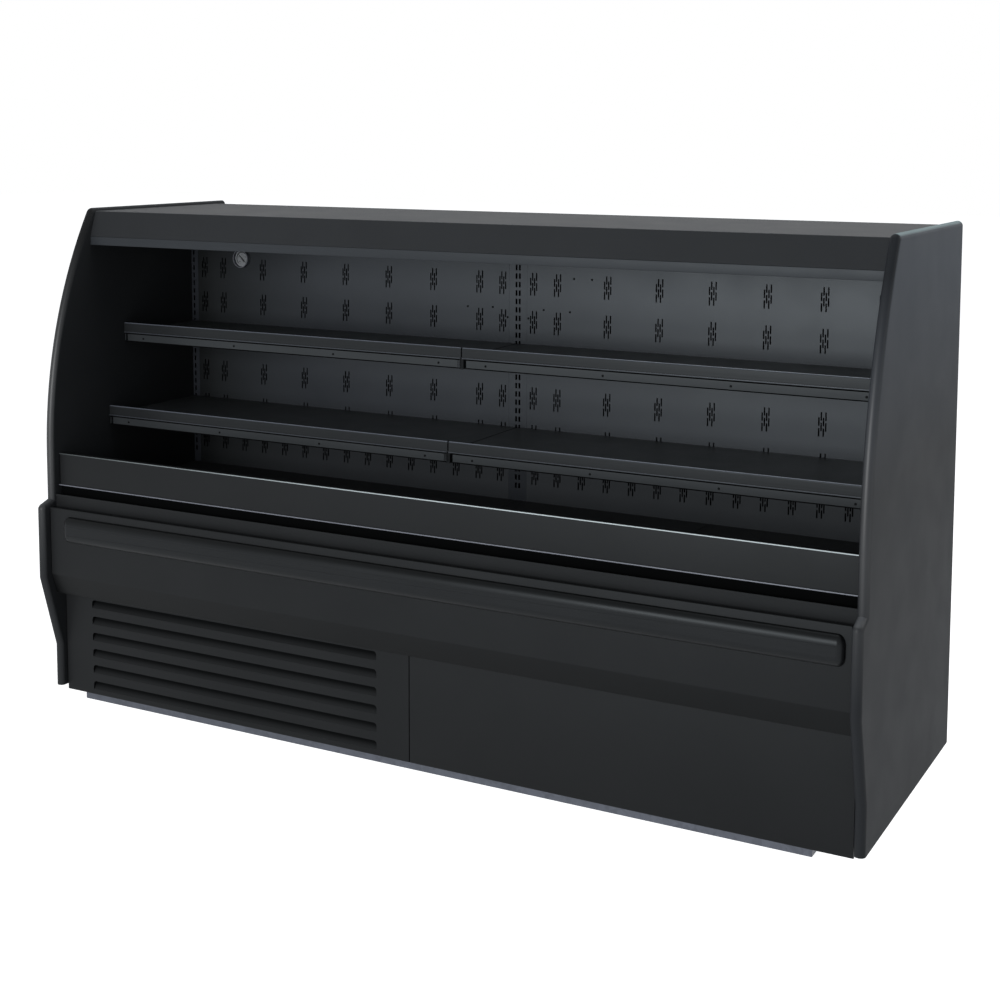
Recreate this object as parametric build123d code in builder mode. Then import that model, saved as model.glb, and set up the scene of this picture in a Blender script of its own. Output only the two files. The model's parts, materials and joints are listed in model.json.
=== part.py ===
from build123d import *
from math import cos, hypot, radians, sin, sqrt
import os

# Open multideck display fridge, an eight-foot self-contained case.
# Millimetres. +Z is up, +X runs along the case, and the open front faces -Y.
# The origin is the middle of the case's footprint, on the floor.

os.makedirs("parts", exist_ok=True)

# ---------------------------------------------------------------- driving sizes
case_length = 2520.0
case_depth = 897.0
case_height = 1494.0
sheet = 1.2                # painted steel sheet
heavy_sheet = 2.0          # uprights
shelf_sheet = 1.5
fit = 0.3                  # clearance of pieces that lift out or off

nose_y = -case_depth / 2
back_y = case_depth / 2

# End panels: thick foamed panels with a fully rounded front edge
panel_thick = 28.0
panel_foot = 37.0          # underside above the floor
toe_inset = 63.0           # behind the nose
toe_top = 164.0
nose_low = 388.0
nose_top = 609.0
shoulder_inset = 42.0
shoulder_z = 624.0
arc_start_z = 757.0
arc_radius = 1438.0
bullnose_gap = 0.5         # flat left between the two roundings
nose_corner_radius = 17.0
top_corner_radius = 20.0

inner_x = case_length / 2 - panel_thick
end_gap = 4.0              # covers stop this far from an end panel

# Front covers, lower box and air return; insets are measured back from the nose
fascia_inset = 27.0
fascia_y = nose_y + fascia_inset
fascia_top = 603.0
fascia_crease = 398.0
fascia_lip_inset = 21.0
fascia_lip_z = 334.0
fascia_hem = 8.0
fascia_return = 25.0
lower_cover_inset = 85.0
lower_cover_y = nose_y + lower_cover_inset
lower_cover_foot = 22.0
lower_cover_flange = 9.0
cover_gap = 3.0
rail_inset = 58.0
rail_y = nose_y + rail_inset
rail_top = 637.0
rail_floor = 590.0
rail_lip = 4.0
rail_lip_drop = 5.0
riser_inset = 73.0
riser_y = nose_y + riser_inset
riser_foot = 662.0
riser_top = 759.0
riser_depth = 22.0
riser_flare = 3.5
riser_seat = 20.0

# Bumper bar
bar_left_inset = 92.0
bar_right_inset = 46.0
bar_left = -case_length / 2 + bar_left_inset
bar_right = case_length / 2 - bar_right_inset
bar_low = 503.0
bar_high = 581.0
bar_thick = 19.0
bar_corner = 19.0
bar_taper = 15.0

# Deck and rear wall
deck_z = 622.0
pan_count = 4
pan_gap = 2.0
pan_flange = 20.0
skin_inset = 36.0          # body's rear skin, ahead of the end panels' rear edge
wall_thick = 57.5
duct_depth = 90.5          # air space behind the perforated panels
wall_out_y = back_y - skin_inset
wall_in_y = wall_out_y - wall_thick
duct_y = wall_in_y - duct_depth
duct_seat = 18.0
tub_wall = 30.0
tub_floor = 40.0

# Canopy
canopy_sink = 9.5          # canopy's top below the end panels' top
canopy_slab = 32.5
canopy_front_inset = 256.0
canopy_crease_inset = 231.0
canopy_crease_drop = 77.5
canopy_nose_wall = 11.0
lip_height = 25.5
lip_return = 8.0
liner_drop_top = 79.5      # liner below the canopy's top
liner_inset = 315.0
canopy_top = case_height - canopy_sink
canopy_front_y = nose_y + canopy_front_inset
canopy_crease_y = nose_y + canopy_crease_inset
canopy_crease_z = canopy_top - canopy_crease_drop
lip_bottom = canopy_crease_z - lip_height
liner_z = canopy_top - liner_drop_top
liner_front_y = nose_y + liner_inset
liner_drop = 21.0
honeycomb_thick = 20.0
honeycomb_cells = 16
honeycomb_web = 4.0
honeycomb_rim = 8.0
light_depth = 36.0
light_height = 16.0
light_skin = 1.6
lens_thick = 2.0
light_inset = 60.0

# Air slots of the rear wall, set out from the middle of each bay
upright_width = 60.0
end_upright_width = 27.0
slot_row_pitch = 114.3
slot_row_drop = 90.7       # top of the first row below the liner
slot_row_top = liner_z - slot_row_drop
vent_pitch = 161.0
vent_steps = (-3.5, -3, -2, -1, 0, 1, 2, 3, 3.5)
low_vent_steps = tuple(step / 2 for step in range(-7, 8))
vent_slot_width = 3.0
vent_slot_height = 66.0
slot_rows = 1 + int((slot_row_top - vent_slot_height - deck_z) // slot_row_pitch)

# Uprights and shelves
upright_slot_pitch = 25.4
upright_slot_width = 6.0
upright_slot_height = 16.0
upright_slot_x = 5.5
lower_shelf_z = 846.0
shelf_step = 10            # upright slots between the shelves
shelf_lip = 27.0
shelf_skirt = 33.0
shelf_skirt_end = 12.0
lip_wall_gap = 6.0         # between the two walls of a shelf's hollow lip
section_gap = 2.0
lower_shelf_inset = 295.0
upper_shelf_inset = 371.0
lower_shelf_front = nose_y + lower_shelf_inset
upper_shelf_front = nose_y + upper_shelf_inset
strip_thick = 2.5
strip_drop = 5.0
strip_ledge = 2.5
strip_ledge_height = 3.0
bead_radius = 4.5
bracket_thick = 2.5
bracket_end = 0.75
bracket_rear_height = 85.0
bracket_nose_height = 30.0
hook_height = 7.0
hook_drop = 34.0
bracket_notch = 24.0
hook_tail = 4.0
hook_spacing = 2           # upright slots between a bracket's two hooks

# Base
rail_height = 40.0
rail_width = 50.0
rail_wall = 3.0
base_left_inset = 95.0
base_right_inset = 135.0
base_left = -case_length / 2 + base_left_inset
base_right = case_length / 2 - base_right_inset
base_rear_inset = 12.0
pan_sheet = 1.5
pan_upstand = 15.0
post_size = 30.0
post_wall = 2.0

# Louvred cover
split_x = 0.0
split_gap = 3.0
louvre_end_inset = 135.0
louvre_split_inset = 105.0
louvre_left = -case_length / 2 + louvre_end_inset
louvre_right = split_x - louvre_split_inset
louvre_count = 6
louvre_pitch = 50.5
louvre_height = 25.0
louvre_low = 38.5
louvre_depth = 18.0
louvre_corner = 10.0

# Fans
evaporator_fan_inset = 632.0   # from the end panels' inner faces
evaporator_fan_xs = (evaporator_fan_inset - inner_x, inner_x - evaporator_fan_inset)
evaporator_fan_radius = 100.0
evaporator_fan_depth = 34.0
evaporator_fan_blades = 5
evaporator_hub_radius = 30.0
evaporator_fan_z = 488.0
evaporator_motor_radius = 40.0
evaporator_motor_length = 55.0
fan_plate_ahead = 195.0        # ahead of the evaporator's middle
fan_tip_gap = 4.0
condenser_fan_radius = 112.0
condenser_fan_depth = 36.0
condenser_fan_blades = 4
condenser_hub_radius = 34.0
condenser_motor_radius = 45.0
condenser_motor_length = 70.0
blade_thick = 1.6
blade_root_share = 0.8
blade_pitch = 32.0
blade_inset = 4.0
shaft_radius = 4.0
shaft_clearance = 0.05
shaft_engage = 14.0
shaft_end_gap = 4.0
motor_gap = 5.0
motor_corner_share = 0.35
arm_width = 16.0
arm_thick = 5.0

# Coils, compressor and refrigerant lines
coil_rows = 4
coil_plate = 2.0
coil_tube = 5.0
coil_bend_reach = 14.0
evaporator_end_space = 162.0
evaporator_depth = 200.0
evaporator_height = 180.0
evaporator_size = (2 * (inner_x - evaporator_end_space), evaporator_depth, evaporator_height)
evaporator_columns = 2
evaporator_ahead = 220.0       # its middle ahead of the body's rear wall
evaporator_y = wall_in_y - evaporator_ahead
fan_plate_y = evaporator_y - fan_plate_ahead
evaporator_lift = 8.0
condenser_end_inset = 612.0
condenser_x = condenser_end_inset - inner_x
condenser_size = (440.0, 50.0, 236.0)
condenser_inset = 148.5
condenser_face_y = nose_y + condenser_inset
condenser_lift = 18.0
shroud_depth = 45.0
compressor_x = condenser_x
compressor_radius = 85.0
compressor_height = 200.0
compressor_dome = 24.0
dome_taper = 50.0
shell_sides = 24
foot_plate = (230.0, 170.0, 3.0)
foot_height = 14.0
foot_width = 26.0
stub_length = 20.0
discharge_height = 70.0
suction_height = 130.0
terminal_width = 60.0
terminal_depth = 44.0
terminal_height = 60.0
terminal_lift = 30.0
discharge_radius = 5.0
liquid_radius = 4.0
suction_radius = 8.0
line_sides = 8
line_spacing = 40.0
line_clearance = 1.0
liquid_inset = 80.0
suction_inset = 50.0

# Rear cover's vents, behind the compressor
rear_vent_rows = 2
rear_vent_count = 8
rear_vent_size = (8.0, 70.0)
rear_vent_pitch = (26.0, 100.0)
rear_vent_inset = 592.0
rear_vent_x = rear_vent_inset - inner_x

# Drain, controls and supply
drain_end_inset = 612.0
drain_x = inner_x - drain_end_inset
drain_inset = 40.0
drain_radius = 14.0
drain_wall = 2.0
drain_clearance = 0.2
drain_dip = 20.0
condensate_size = (520.0, 320.0, 75.0)
condensate_rear = 60.0
control_split_inset = 300.0
control_inset = 218.5
control_x = split_x + control_split_inset
control_y = nose_y + control_inset
control_size = (260.0, 130.0, 190.0)
control_corner = 6.0
inlet_end_inset = 282.0
inlet_x = inner_x - inlet_end_inset
inlet_z = 110.0
inlet_radius = 11.0
inlet_nut_radius = 16.0
inlet_nut = 9.0

# Thermometer
dial_end_inset = 212.0
dial_drop = 90.0           # below the liner
dial_x = dial_end_inset - inner_x
dial_z = liner_z - dial_drop
dial_radius = 30.0
dial_sides = 30
dial_depth = 13.0
dial_wall = 2.0
dial_floor = 3.0
dial_lens = 1.5
needle_long = 20.5
needle_short = 10.0
needle_width = 2.0
needle_thick = 0.8
needle_angle = 135.0
pivot_radius = 1.2
pivot_height = 3.0


# ---------------------------------------------------------------- shared helpers
def save(piece, name):
    """Label a finished piece and write it as its own file."""
    piece.part.label = name
    export_step(piece.part, f"parts/{name}.step")


def parallel_line(points, distance):
    """Corner points of the line that runs beside the given one, to its left."""
    travel = []
    for (a_start, b_start), (a_end, b_end) in zip(points, points[1:]):
        length = hypot(a_end - a_start, b_end - b_start)
        travel.append(((a_end - a_start) / length, (b_end - b_start) / length))
    beside = []
    for index, (a, b) in enumerate(points):
        before = travel[max(index - 1, 0)]
        after = travel[min(index, len(travel) - 1)]
        share = distance / (1 + before[0] * after[0] + before[1] * after[1])
        beside.append((a - (before[1] + after[1]) * share, b + (before[0] + after[0]) * share))
    return beside


def sheet_outline(points, thickness):
    """Draw the closed edge view of a folded sheet, its thickness left of the line."""
    Polyline(*points, *reversed(parallel_line(points, thickness)), close=True)


def fold_sheet(points, thickness, x_low, x_high):
    """Add a sheet folded along the (y, z) line; a negative thickness lies to its right."""
    with BuildSketch(Plane.YZ.offset(x_low)) as section:
        with BuildLine():
            sheet_outline(points, thickness)
        make_face()
    extrude(section.sketch, amount=x_high - x_low)


def pull_section(points, x_low, x_high):
    """Add a solid with the closed (y, z) outline, from x_low to x_high."""
    with BuildSketch(Plane.YZ.offset(x_low)) as section:
        with BuildLine():
            Polyline(*points, close=True)
        make_face()
    extrude(section.sketch, amount=x_high - x_low)


def block(x_range, y_range, z_range, mode=Mode.ADD):
    """Add or cut a block given by its limits along each axis."""
    middle = [(low + high) / 2 for low, high in (x_range, y_range, z_range)]
    size = [high - low for low, high in (x_range, y_range, z_range)]
    with Locations(tuple(middle)):
        Box(*size, mode=mode)


# ---------------------------------------------------------------- end panels
def end_panel(name, outer_side):
    """Foamed end panel: toe, sloping knee, nose, shoulder and a long curved brow."""
    shoulder_y = nose_y + shoulder_inset
    toe_y = nose_y + toe_inset
    rise = case_height - arc_start_z
    brow_y = shoulder_y + arc_radius - sqrt(arc_radius ** 2 - rise ** 2)
    mid_rise = rise / 2
    mid_y = shoulder_y + arc_radius - sqrt(arc_radius ** 2 - mid_rise ** 2)
    x_low = inner_x if outer_side > 0 else -case_length / 2
    with BuildPart() as panel:
        with BuildSketch(Plane.YZ.offset(x_low)):
            with BuildLine():
                lower = Polyline(
                    (back_y, case_height),
                    (back_y, panel_foot),
                    (toe_y, panel_foot),
                    (toe_y, toe_top),
                    (nose_y, nose_low),
                    (nose_y, nose_top),
                    (shoulder_y, shoulder_z),
                    (shoulder_y, arc_start_z),
                )
                brow = ThreePointArc(
                    lower @ 1,
                    (mid_y, arc_start_z + mid_rise),
                    (brow_y, case_height),
                )
                Line(brow @ 1, lower @ 0)
            make_face()
            for corner, radius in (
                ((nose_y, nose_top), nose_corner_radius),
                ((brow_y, case_height), top_corner_radius),
            ):
                fillet(vertices().sort_by_distance(corner)[0], radius)
        extrude(amount=panel_thick)
        rim = edges().filter_by(Plane.YZ)
        front_rim = [
            edge
            for edge in rim
            if edge.center().Y < brow_y + top_corner_radius
            and edge.center().Z > panel_foot + fit
        ]
        fillet(front_rim, (panel_thick - bullnose_gap) / 2)
    save(panel, name)


end_panel("end_panel_left", -1)
end_panel("end_panel_right", 1)


# ---------------------------------------------------------------- base
base_front_y = lower_cover_y + lower_cover_flange + fit
base_rear_y = wall_out_y - base_rear_inset
cross_xs = (
    base_left + rail_width / 2,
    (base_left + base_right) / 2,
    base_right - rail_width / 2,
)
with BuildPart() as base_frame:
    for face_y, inward in ((base_front_y, 1), (base_rear_y, -1)):
        fold_sheet(
            [
                (face_y + inward * rail_width, 0),
                (face_y, 0),
                (face_y, rail_height),
                (face_y + inward * rail_width, rail_height),
            ],
            -inward * rail_wall,
            base_left,
            base_right,
        )
    with BuildSketch(Plane.XZ.offset(-base_front_y - rail_wall)):
        with Locations(*[(cross_x, rail_height / 2) for cross_x in cross_xs]):
            Rectangle(rail_width, rail_height - 2 * rail_wall)
            Rectangle(
                rail_width - 2 * rail_wall,
                rail_height - 4 * rail_wall,
                mode=Mode.SUBTRACT,
            )
    extrude(amount=-(base_rear_y - base_front_y - 2 * rail_wall))
save(base_frame, "base_frame")

pan_front_y = lower_cover_y + louvre_depth + 2 * sheet
pan_rear_y = wall_out_y - sheet
machine_floor = rail_height + pan_sheet
with BuildPart() as base_pan:
    fold_sheet(
        [
            (pan_front_y, rail_height + pan_upstand),
            (pan_front_y, rail_height),
            (pan_rear_y, rail_height),
            (pan_rear_y, rail_height + pan_upstand),
        ],
        pan_sheet,
        -inner_x,
        inner_x,
    )
save(base_pan, "base_pan")

tub_base = fascia_lip_z + sheet
post_ys = (pan_front_y + post_size, pan_rear_y - post_size)
with BuildPart() as tub_posts:
    with BuildSketch(Plane.XY.offset(machine_floor)):
        with Locations(*[(split_x, y) for y in post_ys]):
            Rectangle(post_size, post_size)
            Rectangle(
                post_size - 2 * post_wall,
                post_size - 2 * post_wall,
                mode=Mode.SUBTRACT,
            )
    extrude(amount=tub_base - machine_floor)
save(tub_posts, "tub_posts")


# ---------------------------------------------------------------- insulated body
fascia_lip_y = fascia_y + fascia_lip_inset
fascia_line = [
    (fascia_y + fascia_hem, fascia_top),
    (fascia_y, fascia_top),
    (fascia_y, fascia_crease),
    (fascia_lip_y, fascia_lip_z),
    (fascia_lip_y + fascia_return, fascia_lip_z),
]
fascia_inside = parallel_line(fascia_line, sheet)
tub_front_y = fascia_y + sheet
tub_inner_y = tub_front_y + tub_wall
tub_inner_floor = tub_base + tub_floor
liquid_x = -inner_x + liquid_inset
suction_x = -inner_x + suction_inset
suction_y = evaporator_y - evaporator_size[1] / evaporator_columns / 2
liquid_y = evaporator_y + evaporator_size[1] / evaporator_columns / 2
drain_y = wall_in_y - drain_inset
with BuildPart() as insulated_front:
    pull_section(
        [
            (tub_front_y, rail_floor),
            fascia_inside[2],
            fascia_inside[3],
            (tub_inner_y, tub_base),
            (tub_inner_y, rail_floor),
        ],
        -inner_x,
        inner_x,
    )
save(insulated_front, "insulated_front")

with BuildPart() as insulated_tub:
    block((-inner_x, inner_x), (tub_inner_y, wall_in_y), (tub_base, tub_inner_floor))
    for hole_x, hole_y, hole_radius in (
        (liquid_x, liquid_y, liquid_radius + line_clearance),
        (suction_x, suction_y, suction_radius + line_clearance),
        (drain_x, drain_y, drain_radius),
    ):
        with BuildSketch(Plane.XY.offset(tub_base)):
            with Locations((hole_x, hole_y)):
                RegularPolygon(hole_radius, line_sides, major_radius=False)
        extrude(amount=tub_floor, mode=Mode.SUBTRACT)
save(insulated_tub, "insulated_tub")

slab_bottom = canopy_top - canopy_slab
with BuildPart() as insulated_back:
    block((-inner_x, inner_x), (wall_in_y, wall_out_y), (tub_base, slab_bottom))
save(insulated_back, "insulated_back")

with BuildPart() as insulated_canopy:
    pull_section(
        [
            (wall_out_y, canopy_top),
            (canopy_front_y, canopy_top),
            (canopy_crease_y, canopy_crease_z),
            (canopy_crease_y + canopy_nose_wall, canopy_crease_z),
            (canopy_front_y + canopy_nose_wall, slab_bottom),
            (wall_out_y, slab_bottom),
        ],
        -inner_x,
        inner_x,
    )
save(insulated_canopy, "insulated_canopy")

with BuildPart() as canopy_lip:
    fold_sheet(
        [
            (canopy_crease_y + canopy_nose_wall, canopy_crease_z - sheet),
            (canopy_crease_y, canopy_crease_z - sheet),
            (canopy_crease_y, lip_bottom),
            (canopy_crease_y + lip_return, lip_bottom),
        ],
        sheet,
        -inner_x,
        inner_x,
    )
save(canopy_lip, "canopy_lip")

with BuildPart() as canopy_liner:
    fold_sheet(
        [
            (liner_front_y, liner_z - liner_drop),
            (liner_front_y, liner_z),
            (wall_in_y, liner_z),
        ],
        -sheet,
        -inner_x,
        inner_x,
    )
    duct_width = inner_x - upright_width / 2 - end_upright_width
    for side in (-1, 1):
        bay_middle = side * (upright_width / 2 + duct_width / 2)
        block(
            (bay_middle - duct_width / 2, bay_middle + duct_width / 2),
            (duct_y + 2 * sheet, wall_in_y + fit),
            (liner_z - sheet - fit, liner_z + fit),
            Mode.SUBTRACT,
        )
save(canopy_liner, "canopy_liner")

honeycomb_low = lip_bottom + sheet
with BuildPart() as air_honeycomb:
    comb_y = (canopy_crease_y + sheet, liner_front_y)
    comb_z = (honeycomb_low, honeycomb_low + honeycomb_thick)
    block((-inner_x, inner_x), comb_y, comb_z)
    comb_pitch = 2 * inner_x / honeycomb_cells
    with BuildSketch(Plane.XY.offset(comb_z[1])):
        with Locations((0, sum(comb_y) / 2)):
            with GridLocations(comb_pitch, 0, honeycomb_cells, 1):
                Rectangle(
                    comb_pitch - honeycomb_web,
                    comb_y[1] - comb_y[0] - 2 * honeycomb_rim,
                )
    extrude(amount=-honeycomb_thick, mode=Mode.SUBTRACT)
save(air_honeycomb, "air_honeycomb")

light_y = liner_front_y + sheet
light_top = liner_z - sheet
light_low = light_top - light_height
light_x = inner_x - light_inset
with BuildPart() as light_housing:
    fold_sheet(
        [
            (light_y, light_low),
            (light_y, light_top),
            (light_y + light_depth, light_top),
            (light_y + light_depth, light_low),
        ],
        -light_skin,
        -light_x,
        light_x,
    )
save(light_housing, "light_housing")

with BuildPart() as light_lens:
    block(
        (-light_x, light_x),
        (light_y + light_skin, light_y + light_depth - light_skin),
        (light_low, light_low + lens_thick),
    )
    edge_row = edges().filter_by(Axis.X).group_by(Axis.Z)[0]
    fillet(edge_row, lens_thick / 2)
save(light_lens, "light_lens")


# ---------------------------------------------------------------- rear wall
def slot_origins(bay_middle):
    """Middle points (x, z) of the air slots of one bay's duct panel."""
    places = []
    for row in range(slot_rows):
        steps = low_vent_steps if row == slot_rows - 1 else vent_steps
        row_z = slot_row_top - row * slot_row_pitch - vent_slot_height / 2
        for step in steps:
            places.append((bay_middle + step * vent_pitch, row_z))
    return places


seat_top = deck_z - pan_flange - fit
duct_half = upright_width / 2 + fit
duct_end = inner_x - end_upright_width - fit
bay_centre = (duct_half + duct_end) / 2


def duct_panel(name, side):
    """Perforated air panel with a seat flange for the deck pans along its foot."""
    x_low, x_high = sorted((side * duct_half, side * duct_end))
    with BuildPart() as panel:
        fold_sheet(
            [
                (duct_y - duct_seat, seat_top),
                (duct_y, seat_top),
                (duct_y, liner_z - sheet),
            ],
            -sheet,
            x_low,
            x_high,
        )
        with BuildSketch(Plane.XZ.offset(-duct_y)):
            with Locations(*slot_origins(side * bay_centre)):
                Rectangle(vent_slot_width, vent_slot_height)
        extrude(amount=-sheet, mode=Mode.SUBTRACT)
    save(panel, name)


duct_panel("duct_panel_left", -1)
duct_panel("duct_panel_right", 1)

hook_slot_z = lower_shelf_z - hook_drop - fit
slots_below = int((hook_slot_z - deck_z) // upright_slot_pitch)
slots_above = int((liner_z - hook_slot_z - upright_slot_height) // upright_slot_pitch)
slot_zs = [
    hook_slot_z + index * upright_slot_pitch + upright_slot_height / 2
    for index in range(1 - slots_below, slots_above)
]


def cut_upright_slots(columns):
    """Cut the shelf slots through an upright's face, one column for each x."""
    with BuildSketch(Plane.XZ.offset(-duct_y)) as pattern:
        with Locations(*[(x, z) for x in columns for z in slot_zs]):
            Rectangle(upright_slot_width, upright_slot_height)
    extrude(pattern.sketch, amount=-heavy_sheet, mode=Mode.SUBTRACT)


upright_top = liner_z - sheet
with BuildPart() as upright_centre:
    half = upright_width / 2
    with BuildSketch(Plane.XY.offset(seat_top)):
        with BuildLine():
            sheet_outline(
                [(-half, wall_in_y), (-half, duct_y), (half, duct_y), (half, wall_in_y)],
                heavy_sheet,
            )
        make_face()
    extrude(amount=upright_top - seat_top)
    cut_upright_slots((-upright_slot_x, upright_slot_x))
save(upright_centre, "upright_centre")


def end_upright(name, side):
    """Angle-section upright screwed to an end panel's inner face."""
    edge_x = side * (inner_x - end_upright_width)
    wall_x = side * inner_x
    column_x = side * (inner_x - end_gap - upright_slot_x)
    with BuildPart() as upright:
        with BuildSketch(Plane.XY.offset(seat_top)):
            with BuildLine():
                sheet_outline(
                    [(edge_x, duct_y), (wall_x, duct_y), (wall_x, wall_in_y)],
                    side * heavy_sheet,
                )
            make_face()
        extrude(amount=upright_top - seat_top)
        cut_upright_slots((column_x,))
    save(upright, name)


end_upright("upright_left", -1)
end_upright("upright_right", 1)


# ---------------------------------------------------------------- shelves
upper_shelf_z = lower_shelf_z + shelf_step * upright_slot_pitch
section_end = inner_x - end_gap
shelf_back_y = duct_y - 2 * fit
SHELVES = {
    "upper": (upper_shelf_z, upper_shelf_front),
    "lower": (lower_shelf_z, lower_shelf_front),
}


def shelf_limits(side):
    """X limits of a shelf section: its end at the middle, then its outer end."""
    return side * section_gap, side * section_end


def shelf_pan(name, side, top_z, front_y):
    """Folded shelf pan: back flange, surface, hollow front lip and a short skirt."""
    x_low, x_high = sorted(shelf_limits(side))
    skirt_y = front_y + strip_thick
    inner_lip_y = skirt_y + lip_wall_gap
    lip_z = top_z + shelf_lip - 2 * bead_radius
    with BuildPart() as pan:
        fold_sheet(
            [
                (shelf_back_y, top_z - pan_flange),
                (shelf_back_y, top_z),
                (inner_lip_y, top_z),
                (inner_lip_y, lip_z),
                (skirt_y, lip_z),
                (skirt_y, top_z - shelf_skirt),
                (skirt_y + lip_wall_gap, top_z - shelf_skirt),
            ],
            shelf_sheet,
            x_low,
            x_high,
        )
        for end_x, inward in ((x_low, 1), (x_high, -1)):
            notch = sorted((end_x - inward * fit, end_x + inward * shelf_skirt_end))
            block(
                notch,
                (skirt_y - fit, inner_lip_y + fit + shelf_sheet),
                (top_z - shelf_skirt - fit, top_z - strip_drop),
                Mode.SUBTRACT,
            )
            flange_x = end_x + inward * 2 * bracket_thick
            block(
                sorted((flange_x, flange_x + inward * shelf_sheet)),
                (inner_lip_y + shelf_skirt_end, shelf_back_y - shelf_skirt_end),
                (top_z - pan_flange, top_z - shelf_sheet),
            )
    save(pan, name)


def ticket_strip(name, side, top_z, front_y):
    """Price strip with a rolled top edge and a small ledge along its foot."""
    x_low, x_high = sorted(shelf_limits(side))
    bead_z = top_z + shelf_lip - bead_radius
    foot_z = top_z - strip_drop
    with BuildPart() as strip:
        with BuildSketch(Plane.YZ.offset(x_low)):
            with BuildLine():
                Polyline(
                    (front_y, bead_z),
                    (front_y, foot_z + strip_ledge_height),
                    (front_y - strip_ledge, foot_z + strip_ledge_height / 2),
                    (front_y - strip_ledge, foot_z),
                    (front_y + strip_thick, foot_z),
                    (front_y + strip_thick, bead_z),
                    close=True,
                )
            make_face()
            with Locations((front_y + bead_radius, bead_z)):
                Circle(bead_radius)
        extrude(amount=x_high - x_low)
    save(strip, name)


def shelf_brackets(name, side, top_z, front_y):
    """Two cantilever brackets with a joggled rear edge and two hooks each."""
    under_z = top_z - shelf_sheet
    hook_z = top_z - hook_drop
    nose_y_here = front_y + strip_thick + 2 * lip_wall_gap
    tip_y = front_y + strip_thick
    rear_y = duct_y - fit
    joggle = upright_slot_x - bracket_thick / 2 - bracket_end
    with BuildPart() as pair:
        for end_x, inward in ((0, side), (side * section_end, -side)):
            plate = sorted(
                (
                    end_x + inward * bracket_end,
                    end_x + inward * (bracket_end + bracket_thick),
                )
            )
            pull_section(
                [
                    (rear_y, under_z - bracket_notch),
                    (rear_y - bracket_notch, under_z),
                    (nose_y_here, under_z),
                    (nose_y_here, top_z - strip_drop),
                    (tip_y, top_z - strip_drop),
                    (tip_y, under_z - bracket_nose_height),
                    (rear_y, under_z - bracket_rear_height),
                ],
                *plate,
            )
            hook_x = sorted(
                (
                    plate[0] + inward * joggle,
                    plate[0] + inward * joggle + bracket_thick,
                )
            )
            span = (min(plate[0], hook_x[0]), max(plate[1], hook_x[1]))
            for index in range(2):
                low = hook_z - index * hook_spacing * upright_slot_pitch
                block(
                    span,
                    (rear_y - 2 * bracket_thick, rear_y),
                    (low, low + hook_height),
                )
                block(
                    tuple(hook_x),
                    (rear_y - bracket_thick, duct_y + heavy_sheet + fit + hook_tail),
                    (low, low + hook_height),
                )
                block(
                    tuple(hook_x),
                    (
                        duct_y + heavy_sheet + fit,
                        duct_y + heavy_sheet + fit + hook_tail,
                    ),
                    (low - hook_height, low + hook_height),
                )
    save(pair, name)


for level, (shelf_top, shelf_front) in SHELVES.items():
    for hand, side in (("left", -1), ("right", 1)):
        shelf_pan(f"shelf_{level}_{hand}", side, shelf_top, shelf_front)
        ticket_strip(f"ticket_strip_{level}_{hand}", side, shelf_top, shelf_front)
        shelf_brackets(f"brackets_{level}_{hand}", side, shelf_top, shelf_front)


# ---------------------------------------------------------------- deck and air return
cover_x = inner_x - end_gap
riser_back_y = riser_y + riser_depth
with BuildPart() as deck_riser:
    fold_sheet(
        [
            (riser_y - riser_flare, riser_foot),
            (riser_y, riser_foot + riser_flare),
            (riser_y, riser_top),
            (riser_back_y, riser_top),
            (riser_back_y, seat_top),
            (riser_back_y + riser_seat, seat_top),
        ],
        -sheet,
        -inner_x,
        inner_x,
    )
    for side in (-1, 1):
        block(
            sorted((side * cover_x, side * (inner_x + fit))),
            (riser_y - riser_flare - fit, riser_back_y - 2 * sheet),
            (riser_foot - fit, riser_top + fit),
            Mode.SUBTRACT,
        )
save(deck_riser, "deck_riser")

pan_front = riser_back_y + 2 * fit
pan_back = duct_y - 2 * fit
pan_width = (2 * cover_x - (pan_count - 1) * pan_gap) / pan_count
for pan_index in range(pan_count):
    pan_low = -cover_x + pan_index * (pan_width + pan_gap)
    with BuildPart() as deck_pan:
        block(
            (pan_low, pan_low + pan_width),
            (pan_front, pan_back),
            (deck_z - pan_flange, deck_z),
        )
        underside = faces().sort_by(Axis.Z)[0]
        offset(amount=-shelf_sheet, openings=underside, kind=Kind.INTERSECTION)
    save(deck_pan, f"deck_pan_{pan_index + 1}")

with BuildPart() as front_rail:
    fold_sheet(
        [
            (tub_front_y, rail_floor),
            (rail_y, rail_floor),
            (rail_y, rail_top),
            (rail_y - rail_lip, rail_top),
            (rail_y - rail_lip, rail_top - rail_lip_drop),
        ],
        sheet,
        -inner_x,
        inner_x,
    )
save(front_rail, "front_rail")

with BuildPart() as front_fascia:
    fold_sheet(fascia_line, sheet, -cover_x, cover_x)
save(front_fascia, "front_fascia")

with BuildPart() as bumper_bar:
    bar_middle_x = (bar_left + bar_right) / 2
    bar_middle_z = (bar_low + bar_high) / 2
    bar_length = bar_right - bar_left
    bar_height = bar_high - bar_low
    with BuildSketch(Plane.XZ.offset(-fascia_y)):
        with Locations((bar_middle_x, bar_middle_z)):
            RectangleRounded(bar_length, bar_height, bar_corner)
    extrude(amount=bar_thick)
    chamfer(
        faces().sort_by(Axis.Y)[0].edges(),
        length=bar_thick - sheet,
        length2=bar_taper,
        reference=faces().sort_by(Axis.Y)[0],
    )
save(bumper_bar, "bumper_bar")


# ---------------------------------------------------------------- lower covers
lower_cover_top = fascia_lip_z - cover_gap


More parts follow.
